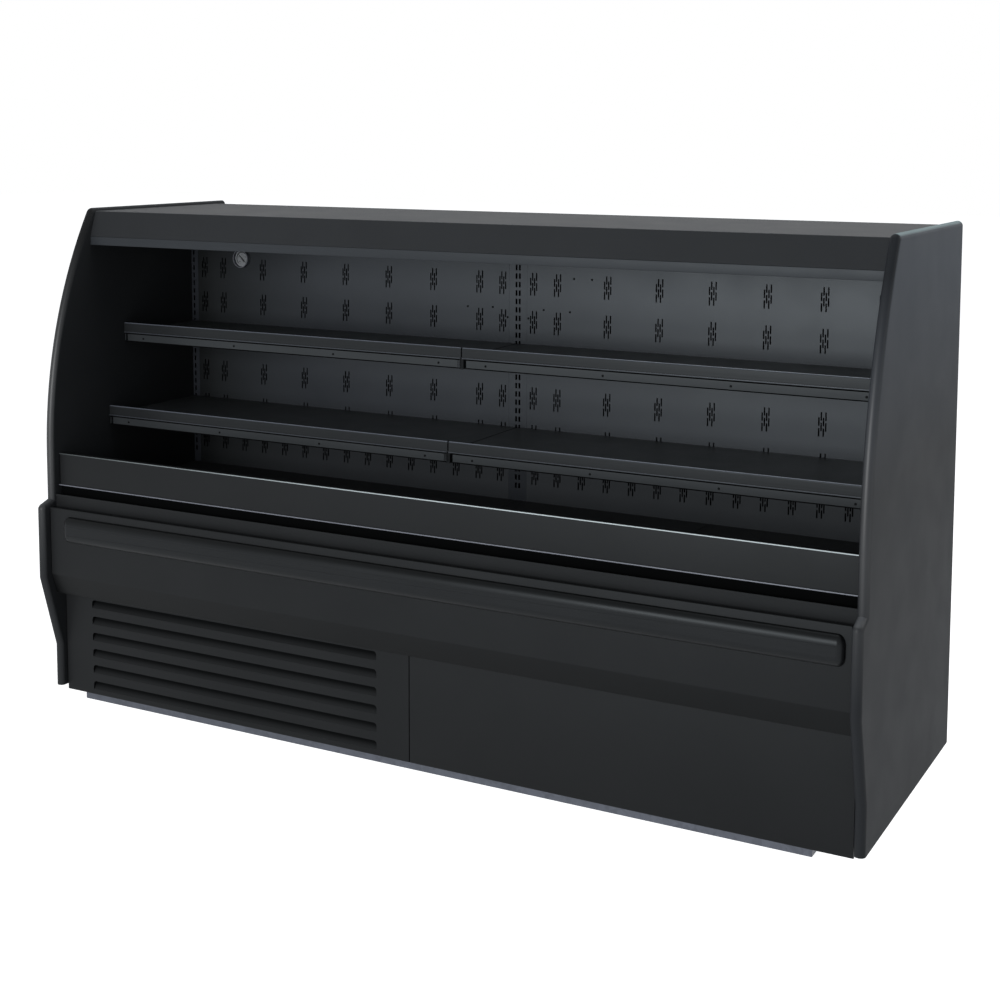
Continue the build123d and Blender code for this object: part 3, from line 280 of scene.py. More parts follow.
def powder_coat(
    name, base=case_black, rough=0.44, grain=0.2, dust_and_sheen=0.04, specular=0.09, slope_shade=0.0, nose=False,
    painted_shade_from=None, painted_light_from=None,
):
    """Black powder coat. The shade option paints shade and the light option paints light in its tone, each
    along an axis from a start to an end.
    """
    finish = Finish(name, Specular_IOR_Level=specular, Specular_Tint=cool, Coat_Roughness=0.42)
    up = finish.facing("Z")
    drift = finish.noise(2.3, 3.0)
    smear = finish.noise(9.0, 4.0)
    fine = finish.noise(1400.0)
    ripple = finish.noise(110.0, 1.0)
    paint = finish.mix(finish.fit(drift, 0.35, 0.65), tone(base, 0.92), tone(base, 1.08))
    paint = finish.mix(finish.fit(fine, 0.62, 0.75, 0.0, 0.25), paint, tone(base, 1.9))
    # What faces up turns paler: a faint share is dust, the strong shares of the roof and end panels are
    # painted sheen.
    dust_and_sheen_share = finish.fit(up, 0.55, 0.98, 0.0, dust_and_sheen) * finish.fit(smear, 0.3, 0.7, 0.6, 1.0)
    paint = finish.mix(dust_and_sheen_share, paint, tone(dust_and_sheen_grey))
    skin_rough = rough + finish.fit(smear, 0.35, 0.7, -0.02, 0.025) + dust_and_sheen_share * 0.3
    # Painted shade on faces that slope up or down.
    if slope_shade:
        paint = finish.mix(finish.fit(up.size(), 0.12, 0.42, 0.0, slope_shade), paint, tone(painted_shade))
    # Painted light along one axis, in its own paler tone.
    if painted_light_from:
        axis, start, end, light = painted_light_from
        paint = finish.mix(finish.fit(finish.axis(axis), start, end), paint, tone(light))
    # Painted shade along one axis, as in a recess or behind a face; the paint turns rougher there too.
    if painted_shade_from:
        axis, start, end = painted_shade_from
        deep = finish.fit(finish.axis(axis), start, end)
        paint = finish.mix(deep, paint, tone(painted_shade))
        skin_rough = skin_rough + deep * 0.4
    if nose:
        height = finish.axis("Z")
        forward_face = finish.facing("Y") * -1.0
        # On the nose: painted shade towards the top and, on the right panel, a painted highlight on its top.
        shaded = finish.fit(height, 1.00, 1.40, 0.0, 0.8)
        if painted_light_from:
            crown_highlight = finish.fit(up, 0.45, 0.85) * finish.fit(forward_face, 0.1, 0.35, 1.0, 0.0)
            paint = finish.mix(crown_highlight * height.above(1.2), paint, tone(crown_highlight_grey))
        paint = finish.mix(shaded * finish.fit(forward_face, 0.1, 0.5), paint, tone(painted_shade))
        gloss = finish.fit(forward_face, 0.05, 0.6, 0.0, nose_coat)
        gloss = gloss * finish.fit(height, 0.42, 0.75, 0.15, 0.95) * (1.0 - shaded)
        finish.set(Coat_Weight=gloss)
    finish.set(Base_Color=paint, Roughness=skin_rough)
    finish.bump(fine * 0.7 + ripple * 0.3, grain, 0.0004)
    return finish.material


body_black = powder_coat("body_black")
# The fascia's sloped faces get painted shade.
fascia_black = powder_coat("fascia_black", dust_and_sheen=0.0, slope_shade=0.9)
# Painted shade deeper in the louvres' throats.
louvre_black = powder_coat("louvre_black", painted_shade_from=("Y", -0.3625, -0.3525))
# Painted shade on the riser behind its front face, in the return slot.
riser_black = powder_coat("riser_black", dust_and_sheen=0.0, painted_shade_from=("Y", -0.3735, -0.3690))
# Painted shade on the insulated back's front, which is seen through the slots.
back_black = powder_coat("back_black", painted_shade_from=("Y", 0.405, 0.385))
# The roof's strong pale veil is painted sheen over a little dust.
roof_black = powder_coat("roof_black", (0.0200, 0.0212, 0.0230), 0.52, dust_and_sheen=0.36)
lip_black = powder_coat("lip_black", (0.0230, 0.0255, 0.0292), 0.42, specular=0.14)
# The right end panel: painted light towards its top, painted sheen on its top, and on its nose painted shade
# and a painted highlight.
panel_black = powder_coat(
    "panel_black", (0.0155, 0.0170, 0.0194), 0.58, dust_and_sheen=0.75, specular=0.05, nose=True,
    painted_light_from=("Z", 0.90, 1.40, (0.0440, 0.0510, 0.0620)),
)
# The left end panel is the same paint as the right in a lighter tone, which is painted light; its upward
# faces get dust and painted sheen.
left_black = powder_coat("left_black", (0.0225, 0.0238, 0.0255), 0.58, dust_and_sheen=0.4, specular=0.05, nose=True)
# The rear wall: painted shade towards its left end and painted light on its lower part.
wall_black = powder_coat(
    "wall_black", (0.0192, 0.0213, 0.0264), 0.40, specular=0.30, painted_shade_from=("X", -0.72, -1.18),
    painted_light_from=("Z", 0.88, 0.76, (0.0320, 0.0345, 0.0385)),
)
# Painted shade on the uprights behind the wall's face, seen in their slots.
upright_black = powder_coat(
    "upright_black", (0.0200, 0.0222, 0.0275), 0.40, specular=0.30, painted_shade_from=("Y", 0.2662, 0.2680)
)
shelf_black = powder_coat("shelf_black", (0.0290, 0.0318, 0.0342), 0.38, grain=0.15, specular=0.14)
deck_black = powder_coat("deck_black", (0.0190, 0.0200, 0.0212), 0.46)
shadow_black = powder_coat("shadow_black", (0.0016, 0.0017, 0.0018), 0.8, dust_and_sheen=0.0, specular=0.02)
screw_black = powder_coat("screw_black", (0.0030, 0.0031, 0.0033), 0.5, dust_and_sheen=0.0, specular=0.05)
motor_black = powder_coat("motor_black", (0.032, 0.032, 0.034), 0.36, grain=0.1, specular=0.5)
print("powder coats ready")

# %% [markdown]
# ## Moulded and extruded plastics
# The bumper and the price strips are extrusions: faint drawn lines run along them, and their skin
# is smoother than paint. A noise stretched a hundredfold along X gives those lines.

# %% Plastics
def extrusion(name, base, rough, specular=0.4, edge=None, top_shade=0.0, shade_along_x=None):
    """Drawn plastic. The edge tone is a painted highlight on what faces up, the top option paints shade on
    what faces up, and the X option paints shade along X.
    """
    finish = Finish(name, Specular_IOR_Level=specular, Specular_Tint=cool)
    up = finish.facing("Z")
    drawn = finish.noise(380.0, 2.0, stretch=(0.01, 1.0, 1.0))
    patch = finish.noise(7.0, 3.0, stretch=(0.3, 1.0, 1.0))
    skin = finish.mix(finish.fit(drawn, 0.3, 0.7), tone(base, 0.94), tone(base, 1.08))
    # Painted highlight: a paler tone on what faces up.
    if edge:
        skin = finish.mix(finish.fit(up, 0.3, 0.6), skin, tone(edge))
    # Painted shade on what faces up.
    if top_shade:
        skin = finish.mix(finish.fit(up, 0.1, 0.7, 0.0, top_shade), skin, tone(painted_shade))
    # Painted shade along X, darkest at the first end.
    if shade_along_x:
        skin = finish.mix(finish.fit(finish.axis("X"), *shade_along_x, 0.9, 0.0), skin, tone(painted_shade))
    finish.set(Base_Color=skin, Roughness=rough + finish.fit(patch, 0.3, 0.7, -0.04, 0.05))
    finish.bump(drawn, 0.12, 0.0003)
    return finish.material


def moulded(name, base, rough, scale=700.0, strength=0.25):
    """Moulded plastic with a fine grain."""
    finish = Finish(name, Specular_IOR_Level=0.4)
    grain = finish.noise(scale, 2.0)
    patch = finish.noise(14.0)
    skin = finish.mix(finish.fit(patch, 0.35, 0.65), tone(base, 0.9), tone(base, 1.12))
    finish.set(Base_Color=skin, Roughness=rough + finish.fit(grain, 0.3, 0.7, -0.04, 0.04))
    finish.bump(grain, strength, 0.0002)
    return finish.material


# The bumper's top roll gets painted shade.
bumper_black = extrusion("bumper_black", (0.0118, 0.0124, 0.0133), 0.32, specular=0.11, top_shade=0.95)
# The price strips get a painted highlight on what faces up.
strip_black = extrusion(
    "strip_black", (0.0165, 0.0177, 0.0190), 0.32, specular=0.10, edge=(0.075, 0.083, 0.100)
)
# The bead and ledge bars are the strip's black plastic in lighter greys: painted highlight.
bead_highlight_grey = extrusion("bead_highlight_grey", (0.095, 0.105, 0.128), 0.30, specular=0.4)
ledge_highlight_grey = extrusion("ledge_highlight_grey", (0.040, 0.044, 0.052), 0.30, specular=0.2)
# Black for painted shadow under the strip's ledge and painted shade on the shelf's rolled foot.
painted_shadow_black = extrusion("painted_shadow_black", (0.0020, 0.0021, 0.0023), 0.7, specular=0.02)
# The riser's top edge: a pale tone that is partly painted highlight, with painted shade towards the left.
edge_pale_highlight = extrusion("edge_pale_highlight", (0.50, 0.56, 0.58), 0.35, specular=0.3, shade_along_x=(-1.2, 0.1))
# The shelf clips get a painted highlight on what faces up.
clip_black = extrusion("clip_black", (0.0030, 0.0032, 0.0036), 0.35, specular=0.08, edge=(0.10, 0.11, 0.12))
# The riser's foot profile: a light grey that is partly painted highlight.
edge_grey_highlight = extrusion("edge_grey_highlight", (0.13, 0.135, 0.16), 0.35, specular=0.5)
comb_black = moulded("comb_black", (0.016, 0.016, 0.017), 0.55)
hose_grey = moulded("hose_grey", (0.055, 0.056, 0.060), 0.5, scale=300.0)
lens_white = moulded("lens_white", (0.72, 0.72, 0.70), 0.35, scale=900.0, strength=0.08)
rubber_black = moulded("rubber_black", (0.018, 0.018, 0.019), 0.62)
print("plastics ready")

# %% [markdown]
# ## Bare metals
# Galvanised sheet shows a spangle of zinc crystals, each with its own tint and gloss, which
# Voronoi cells give. Coil fins, fan blades and the lamp's housing are plain metal with fine rub
# marks, and copper tube browns in patches.

# %% Metals
def galvanised(name, base):
    """Zinc-coated sheet with crystals and a slow bloom."""
    finish = Finish(name, Metallic=0.85)
    spangle = finish.crystals(70.0)
    bloom = finish.noise(9.0, 4.0)
    zinc = finish.mix(spangle, tone(base, 0.82), tone(base))
    zinc = finish.mix(finish.fit(bloom, 0.55, 0.75, 0.0, 0.35), zinc, tone(base, 1.3))
    finish.set(Base_Color=zinc, Roughness=finish.fit(spangle, 0.0, 1.0, 0.36, 0.52) + bloom * 0.08)
    finish.bump(spangle, 0.08, 0.0002)
    return finish.material


def bare_metal(name, base, rough, stain=None):
    """Rubbed metal that turns to a stain, or a darker tone of its own, in patches."""
    finish = Finish(name, Metallic=1.0)
    rubbed = finish.noise(260.0, 3.0, stretch=(0.2, 1.0, 1.0))
    cloud = finish.noise(16.0, 3.0)
    stained = tone(stain) if stain else tone(base, 0.7)
    metal = finish.mix(finish.fit(cloud, 0.4, 0.72, 0.0, 0.8), tone(base), stained)
    finish.set(Base_Color=metal, Roughness=rough + finish.fit(rubbed, 0.3, 0.7, -0.06, 0.08))
    finish.bump(rubbed, 0.06, 0.0002)
    return finish.material


zinc_sheet = galvanised("zinc_sheet", (0.50, 0.52, 0.55))
# The base rail is the same galvanised finish in a far darker tone: painted shade under the case.
base_rail_grey = galvanised("base_rail_grey", (0.088, 0.096, 0.116))
fin_aluminium = bare_metal("fin_aluminium", (0.62, 0.63, 0.64), 0.38)
fan_metal = bare_metal("fan_metal", (0.58, 0.59, 0.60), 0.34)
lamp_metal = bare_metal("lamp_metal", (0.60, 0.60, 0.62), 0.3)
copper_tube = bare_metal("copper_tube", (0.62, 0.32, 0.20), 0.34, stain=(0.30, 0.15, 0.10))
print("metals ready")

# %% [markdown]
# ## The dial
# The thermometer's card is a grey disc with black marks, its case a grey plastic and its window
# clear. The window lets the card show, so it is nearly all alpha, with a slightly varied gloss.

# %% Dial finishes
card_grey = moulded("card_grey", (0.220, 0.234, 0.246), 0.5, scale=1500.0, strength=0.05)
case_grey = moulded("case_grey", (0.11, 0.116, 0.135), 0.42, scale=900.0)
ink_black = moulded("ink_black", (0.012, 0.012, 0.013), 0.45, scale=1500.0)
window = Finish("window_clear", Base_Color=tone((0.08, 0.085, 0.10)), Specular_IOR_Level=0.4)
haze = window.noise(60.0)
window.set(Roughness=window.fit(haze, 0.3, 0.7, 0.04, 0.1), Alpha=window.fit(haze, 0.3, 0.7, 0.05, 0.09))
window_clear = window.material
print("dial finishes ready")

# %% [markdown]
# ## Dressing the nodes
# Every node of the frame gets one of those finishes. The nodes that are remade further on hand
# their finish and body to the new piece, so tables from node to finish, body and slot are kept.

# %% Node finishes
levels = ("upper", "lower")
hands = ("left", "right")
sections = [f"{level}_{hand}" for level in levels for hand in hands]
dressed_in = [
    (left_black, "end_panel_left"), (panel_black, "end_panel_right"),
    (shadow_black, "insulated_front", "insulated_tub"),
    (back_black, "insulated_back"), (roof_black, "insulated_canopy"), (lip_black, "canopy_lip"),
    (wall_black, "canopy_liner", "duct_panel_left", "duct_panel_right"),
    (upright_black, "upright_left", "upright_centre", "upright_right"),
    (shelf_black, *(f"{kind}_{section}" for kind in ("shelf", "brackets") for section in sections)),
    (strip_black, *(f"ticket_strip_{section}" for section in sections)),
    (deck_black, *(f"deck_pan_{number}" for number in range(1, 5))),
    (riser_black, "deck_riser"), (fascia_black, "front_fascia"), (louvre_black, "louvre_panel"),
    (body_black, "front_rail", "lower_right_panel"), (bumper_black, "bumper_bar"),
    (comb_black, "air_honeycomb"), (lens_white, "light_lens"), (lamp_metal, "light_housing"),
    (case_grey, "thermometer_case"), (ink_black, "thermometer_needle"),
    (window_clear, "thermometer_lens"), (base_rail_grey, "base_frame"),
    (zinc_sheet, "rear_vent_cover", "base_pan", "tub_posts", "evaporator_fan_plate"),
    (zinc_sheet, "fan_shroud", "condensate_pan", "control_box"),
    (fin_aluminium, "evaporator_coil", "condenser_coil"),
    (fan_metal, "evaporator_fan_1", "evaporator_fan_2", "condenser_fan"),
    (motor_black, "evaporator_fan_motors", "condenser_fan_motor", "compressor"),
    (copper_tube, "refrigerant_lines"), (hose_grey, "drain_hose"), (rubber_black, "power_inlet"),
]
finish_of = {node: finish for finish, *nodes in dressed_in for node in nodes}
body_of = {node: body for body, nodes in frame["record"]["behaviour"]["bodies"].items() for node in nodes}
slot_of = {part["node"]: part["material_slot"] for part in frame["record"]["subparts"]}
for node, thing in frame["nodes"].items():
    thing.data.materials.clear()
    thing.data.materials.append(finish_of[node])
print("dressed", len(frame["nodes"]), "nodes")

# %% [markdown]
# ## Modelling helpers
# Working by script is like working by hand, but nothing is under a mouse. So each helper first
# deselects everything, makes one object active, and picks faces or edges by a test on their place.
# Modifiers are applied as soon as they have done their work, and each piece's place is written into
# its mesh, as in the frame.

# %% Helpers
def only(piece):
    """Make one object the selected and active one."""
    bpy.ops.object.select_all(action="DESELECT")
    piece.select_set(True)
    bpy.context.view_layer.objects.active = piece
    return piece


def settle(piece, place=(0.0, 0.0, 0.0), turn=(0.0, 0.0, 0.0), size=(1.0, 1.0, 1.0)):
    """Size, turn and place a piece, and write that into its mesh."""
    only(piece)
    piece.location, piece.rotation_euler, piece.scale = place, turn, size
    bpy.ops.object.transform_apply(location=True, rotation=True, scale=True)
    return piece


def started(name, primitive, **settings):
    """A new primitive under a name, as the start of a piece."""
    bpy.ops.object.select_all(action="DESELECT")
    primitive(**settings)
    bpy.context.object.name = name
    return bpy.context.object


def new_box(name, low, high):
    """A cube primitive brought to the given limits."""
    box = started(name, bpy.ops.mesh.primitive_cube_add, size=1.0)
    return settle(box, [(a + b) / 2 for a, b in zip(low, high)], size=[b - a for a, b in zip(low, high)])


def new_cylinder(name, radius, depth, sides):
    """A cylinder primitive about Z."""
    return started(name, bpy.ops.mesh.primitive_cylinder_add, vertices=sides, radius=radius, depth=depth)


def new_ring(name, radius, thickness, sides):
    """A torus primitive about Z; thickness is the radius of its round section."""
    return started(
        name, bpy.ops.mesh.primitive_torus_add, major_segments=48, minor_segments=sides,
        major_radius=radius, minor_radius=thickness,
    )


def copy_of(piece, name):
    """A copy with a mesh of its own."""
    twin = piece.copy()
    twin.data = piece.data.copy()
    twin.name = name
    bpy.context.scene.collection.objects.link(twin)
    return twin


def pick(piece, kind, test):
    """Open edit mode with the faces or edges that pass the test selected."""
    only(piece)
    bpy.ops.object.mode_set(mode="EDIT")
    bpy.ops.mesh.select_mode(type="FACE" if kind == "faces" else "EDGE")
    bpy.ops.mesh.select_all(action="DESELECT")
    bpy.ops.object.mode_set(mode="OBJECT")
    mesh = piece.data
    if kind == "faces":
        for face in mesh.polygons:
            face.select = test(face.center, face.normal)
    else:
        for edge in mesh.edges:
            start, end = (mesh.vertices[index].co for index in edge.vertices)
            edge.select = test((start + end) / 2, end - start)
    bpy.ops.object.mode_set(mode="EDIT")


def close_edit():
    bpy.ops.object.mode_set(mode="OBJECT")


def round_edges(piece, test, radius, segments=3):
    """Bevel the edges that pass the test."""
    pick(piece, "edges", test)
    bpy.ops.mesh.bevel(offset=radius, segments=segments, profile=0.5)
    close_edit()


def modify(piece, kind, **settings):
    """Add one modifier, set it and apply it."""
    only(piece)
    modifier = piece.modifiers.new(kind.lower(), kind)
    for key, value in settings.items():
        setattr(modifier, key, value)
    bpy.ops.object.modifier_apply(modifier=modifier.name)


def smooth(piece, degrees=32.0):
    only(piece)
    bpy.ops.object.shade_smooth_by_angle(angle=math.radians(degrees))


def weigh_normals(piece):
    """Keep the large faces flat beside their rounded edges."""
    modify(piece, "WEIGHTED_NORMAL", keep_sharp=True, weight=100)


def hand_over(piece, *nodes, body=None, slot=None, finish=None):
    """Finish a piece, let it ride and stand for the nodes that it replaces."""
    first = nodes[0] if nodes else None
    piece.data.materials.clear()
    piece.data.materials.append(finish or finish_of[first])
    smooth(piece)
    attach(piece, body or body_of[first])
    if nodes:
        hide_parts(*nodes)


def merged_copy(node, name):
    """A copy of a node's mesh with its loose triangles merged into clean faces."""
    piece = copy_of(frame["nodes"][node], name)
    for key in list(piece.keys()):
        del piece[key]
    piece.parent = None
    only(piece)
    bpy.ops.mesh.customdata_custom_splitnormals_clear()
    bpy.ops.object.mode_set(mode="EDIT")
    bpy.ops.mesh.select_all(action="SELECT")
    bpy.ops.mesh.remove_doubles(threshold=0.00001)
    bpy.ops.mesh.dissolve_limited(angle_limit=math.radians(0.4))
    bpy.ops.object.mode_set(mode="OBJECT")
    return piece


def joined(name, pieces):
    """Join pieces into the first one."""
    bpy.ops.object.select_all(action="DESELECT")
    for piece in pieces:
        piece.select_set(True)
    bpy.context.view_layer.objects.active = pieces[0]
    bpy.ops.object.join()
    bpy.context.object.name = name
    return bpy.context.object


print("helpers ready")

# %% [markdown]
# ## Folded sheet panels
# A press brake can't fold a sharp edge: the outside of each fold is round, with a radius of a
# millimetre or two, and that round is what catches a thin line of light along the whole case. The
# folds are long edges along X. A bevel on just those edges gives the line, and cut edges stay as
# they are. The lip under the canopy is thinner: it folds tighter, and its top reaches the canopy.

# %% Folded panels
fold_radius = 0.0022
fold_length = 0.3
least_bend = math.radians(12)
sheet_edge = 0.004
lip_fold_radius = 0.0011
lip_reach = 0.0011


def bend_folds(piece, radius=fold_radius):
    """Round the outer folds: long convex edges along X between two faces that aren't a sheet's edge."""
    pick(piece, "edges", lambda middle, run: False)
    close_edit()
    mesh = piece.data
    faces_at = {}
    for face in mesh.polygons:
        for key in face.edge_keys:
            faces_at.setdefault(key, []).append(face)
    folds = 0
    for edge in mesh.edges:
        start, end = (mesh.vertices[index].co for index in edge.vertices)
        beside = faces_at.get(edge.key, [])
        if len(beside) != 2 or abs(end.x - start.x) < fold_length or (end - start).yz.length > 1e-5:
            continue
        first, second = beside
        width = min(face.area for face in beside) / (end - start).length
        bend = first.normal.angle(second.normal, 0.0)
        hollow = (second.center - first.center).dot(first.normal) > 0
        edge.select = bend > least_bend and not hollow and width > sheet_edge
        folds += edge.select
    bpy.ops.object.mode_set(mode="EDIT")
    bpy.ops.mesh.bevel(offset=radius, segments=4, profile=0.5, clamp_overlap=True)
    close_edit()
    print(piece.name, "folds", folds)


lip = merged_copy("canopy_lip", "canopy_lip_sheet")
lip_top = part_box("canopy_lip")[1][2]
pick(lip, "edges", lambda middle, run: middle.z > lip_top - 0.0003)
bpy.ops.transform.translate(value=(0.0, 0.0, lip_reach))
close_edit()
bend_folds(lip, lip_fold_radius)
hand_over(lip, "canopy_lip")
folded_nodes = ["deck_riser", "front_rail", "front_fascia", "lower_right_panel"]
folded_nodes += [f"shelf_{section}" for section in sections]
for node in folded_nodes:
    panel = merged_copy(node, f"{node}_sheet")
    bend_folds(panel)
    hand_over(panel, node)

# %% [markdown]
# ## The canopy's skin, the end panels and the louvred cover
# The foamed canopy has a folded steel skin, so its long edges are round like the other sheets. The
# end panels keep their shape from the frame: a foamed slab with a half-round front. Weighted
# normals let the large flat sides stay flat while the nose shades as one smooth roll.

# %% Canopy, end panels and louvred cover
skins = {
    "insulated_canopy": "skin",
    "end_panel_left": "skin",
    "end_panel_right": "skin",
    "louvre_panel": "sheet",
}
for node, kind in skins.items():
    skin = merged_copy(node, f"{node}_{kind}")
    if not node.startswith("end_panel"):
        bend_folds(skin)
    hand_over(skin, node)
    weigh_normals(skin)

# %% [markdown]
# ## The bumper bar
# A trolley bumper is a hollow plastic extrusion with a cap at each end: flat in front, round along
# its top, bottom and ends. It starts as a low box, gets its corners rounded in front view, and then
# a wide soft bevel round the front face. Stretched to its real height, the roll turns from a
# quarter circle to a quarter ellipse, taller than deep, as on the real bar.

# %% Bumper bar
bar_low, bar_high = (Vector(corner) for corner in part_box("bumper_bar"))
bar_corner = 0.018
bar_roll = 0.0182
bar_stretch = 1.4
flat = Vector((1.0, 1.0, 1.0 / bar_stretch))
bar = new_box("bumper_bar_moulding", bar_low * flat, bar_high * flat)
round_edges(bar, lambda middle, run: abs(run.y) > 0.01, bar_corner, 8)
round_edges(bar, lambda middle, run: middle.y < bar_low.y + 0.0001, bar_roll, 9)
settle(bar, size=(1.0, 1.0, bar_stretch))
hand_over(bar, "bumper_bar")
weigh_normals(bar)
print("bumper faces", len(bar.data.polygons))

# %% [markdown]
# ## Price strips and thin trims
# A price strip is an extrusion with a rolled bead on top and a ledge along its foot, which catch the
# light as two thin lines; both are painted in lighter greys, a painted highlight. Below the strip a
# black bar is painted shadow under the ledge, and the shelf's own foot, which is rolled under, gets a
# black bar of painted shade. The upright board in front of the deck is glazed: its top edge is
# polished, and its pale bar is partly painted highlight with painted shade towards the left; its foot
# has a narrow metal profile whose light grey is partly painted highlight; and behind it a black sheet
# is painted shade in the return slot. One helper makes all of these long thin bars: a box whose long
# edges are rounded. Where two shelf sections meet, a small dished clip covers the joint; what faces up
# on it and on the strips is painted lighter, a painted highlight.

# %% Strips and trims
def long_trim(name, ends, depth, height, radius, body, slot, finish):
    """A bar along X whose limits in X, Y and Z are given as pairs."""
    low, high = zip(ends, depth, height)
    trim = new_box(name, low, high)
    round_edges(trim, lambda middle, run: abs(run.x) > 0.1, radius)
    hand_over(trim, body=body, slot=slot, finish=finish)


end_inset = 0.001
for section in sections:
    strip = merged_copy(f"ticket_strip_{section}", f"ticket_strip_{section}_extrusion")
    hand_over(strip, f"ticket_strip_{section}")
    strip_low, strip_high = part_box(f"ticket_strip_{section}")
    pan_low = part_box(f"shelf_{section}")[0]
    skirt, face, foot, top = pan_low[1], strip_low[1], strip_low[2], strip_high[2]
    trims = {
        # The first two bars are black painted shadow and painted shade; bead and ledge are painted highlight.
        "strip_painted_shadow": ((skirt - 0.0012, skirt + 0.0004), (foot - 0.0042, foot - 0.0002), 0.0005, painted_shadow_black),
        "shelf_hem_shade": ((skirt - 0.0008, skirt + 0.0004), (pan_low[2], pan_low[2] + 0.0030), 0.0005, painted_shadow_black),
        "strip_bead": ((skirt - 0.0008, skirt + 0.0016), (top - 0.0020, top + 0.0002), 0.0006, bead_highlight_grey),
        "strip_ledge": ((face - 0.0004, face + 0.0012), (foot + 0.0008, foot + 0.0036), 0.0006, ledge_highlight_grey),
    }
    ends = (strip_low[0] + end_inset, strip_high[0] - end_inset)
    for trim, (depth, height, radius, finish) in trims.items():
        slot = "shelf_paint" if trim == "shelf_hem_shade" else "strip_plastic"
        long_trim(f"{trim}_{section}", ends, depth, height, radius, f"shelf_{section}", slot, finish)

board_setback = 0.0035
board_foot = 0.662
riser_low, riser_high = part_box("deck_riser")
face, foot, top = riser_low[1] + board_setback, board_foot, riser_high[2]
# Both bars' pale tones are partly painted highlight.
riser_trims = {
    "riser_polished_edge": ((face - 0.0006, face + 0.0026), (top - 0.0022, top + 0.0004), 0.0006, edge_pale_highlight),
    "riser_foot_profile": (
        (riser_low[1] - 0.0006, riser_low[1] + 0.0020), (foot - 0.0004, foot + 0.0026), 0.0006, edge_grey_highlight
    ),
}
ends = (riser_low[0] + end_inset, riser_high[0] - end_inset)
for trim, (depth, height, radius, finish) in riser_trims.items():
    long_trim(trim, ends, depth, height, radius, "root", "black_paint", finish)

clip_half_width = 0.0060
clip_rim = 0.0028
clip_dish = 0.0014
for level in levels:
    pan_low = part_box(f"shelf_{level}_left")[0]
    strip_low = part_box(f"ticket_strip_{level}_left")[0]
    clip_low = (-clip_half_width, pan_low[1] - 0.0022, pan_low[2] - 0.0015)
    clip_high = (clip_half_width, pan_low[1] - 0.0004, strip_low[2] + 0.0045)
    clip = new_box(f"shelf_clip_{level}", clip_low, clip_high)
    pick(clip, "faces", lambda middle, normal: normal.y < -0.9)
    bpy.ops.mesh.inset(thickness=clip_rim)
    bpy.ops.mesh.extrude_region_move(TRANSFORM_OT_translate={"value": (0.0, clip_dish, 0.0)})
    close_edit()
    round_edges(clip, lambda middle, run: middle.y < clip_low[1] + 0.0002, 0.0004, 2)
    hand_over(clip, body=f"shelf_{level}_left", slot="shelf_paint", finish=clip_black)

# A black sheet behind the riser stands for the shade in the return slot: painted shade.
ends = (riser_low[0] + 2 * end_inset, riser_high[0] - 2 * end_inset)
depth, height = (face + 0.0080, face + 0.0100), (riser_low[2] + 0.001, riser_low[2] + 0.110)
long_trim("return_slot_shade_sheet", ends, depth, height, 0.0004, "root", "black_paint", shadow_black)
print("trims on", len(sections), "sections and the riser")

# %% [markdown]
# ## Screws
# Pan-head screws hold the rear panels and the shelf fronts. One is turned from a short cylinder:
# its rim is beveled into a dome and a socket is sunk in its face. All others are copies, each with
# its own mesh, and each group of screws is joined to one piece per body.

# %% Screws
screw_radius = 0.0034
screw_height = 0.0016
screw_dome = screw_height * 0.6
socket_rim = screw_radius * 0.25
socket_depth = 0.0009
wall_sheet = 0.0012
shelf_screw_height = 0.012
vent_margin = 0.03
vent_edge = 0.02
screw = new_cylinder("screw", screw_radius, screw_height, 12)
round_edges(screw, lambda middle, run: middle.z > 0 and abs(run.z) < 1e-6, screw_dome, 2)
pick(screw, "faces", lambda middle, normal: normal.z > 0.99)
bpy.ops.mesh.inset(thickness=socket_rim)
bpy.ops.mesh.extrude_region_move(TRANSFORM_OT_translate={"value": (0, 0, -socket_depth)})
close_edit()


def screw_group(name, places, outward, body, finish):
    """Copies of the screw that stand on a surface and face outward, as one piece."""
    outward = Vector(outward)
    turn = outward.to_track_quat("Z", "Y").to_euler()
    heads = [
        settle(copy_of(screw, f"{name}_{number}"), Vector(place) + outward * screw_height / 2, turn)
        for number, place in enumerate(places)
    ]
    hand_over(joined(name, heads), body=body, slot="shelf_paint", finish=finish)


forward = (0.0, -1.0, 0.0)
rearward = (0.0, 1.0, 0.0)
wall_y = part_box("duct_panel_right")[1][1] - wall_sheet
wall_screws = [(side * x, z) for side in (-1, 1) for x, z in ((0.172, 1.203), (0.086, 1.205), (0.035, 1.177))]
wall_screws += [(0.185, 1.302), (0.243, 1.302)]
screw_group("rear_wall_screws", [(x, wall_y, z) for x, z in wall_screws], forward, "root", screw_black)
for section in sections:
    low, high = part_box(f"shelf_{section}")
    side = 1 if section.endswith("right") else -1
    row = [(side * x, low[1], low[2] + shelf_screw_height) for x in (0.076, 0.435, 0.798, 1.153)]
    screw_group(f"shelf_screws_{section}", row, forward, f"shelf_{section}", screw_black)
vent_low, vent_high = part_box("rear_vent_cover")
vent_step = (vent_high[0] - vent_low[0] - 2 * vent_margin) / 6
vent_row = [vent_low[0] + vent_margin + step * vent_step for step in range(7)]
vent_heights = (vent_low[2] + vent_edge, vent_high[2] - vent_edge)
vent_screws = [(x, vent_high[1], z) for x in vent_row for z in vent_heights]
screw_group("rear_cover_screws", vent_screws, rearward, "root", zinc_sheet)
bpy.data.objects.remove(screw)
print("screws", len(wall_screws) + len(vent_screws) + 4 * len(sections))

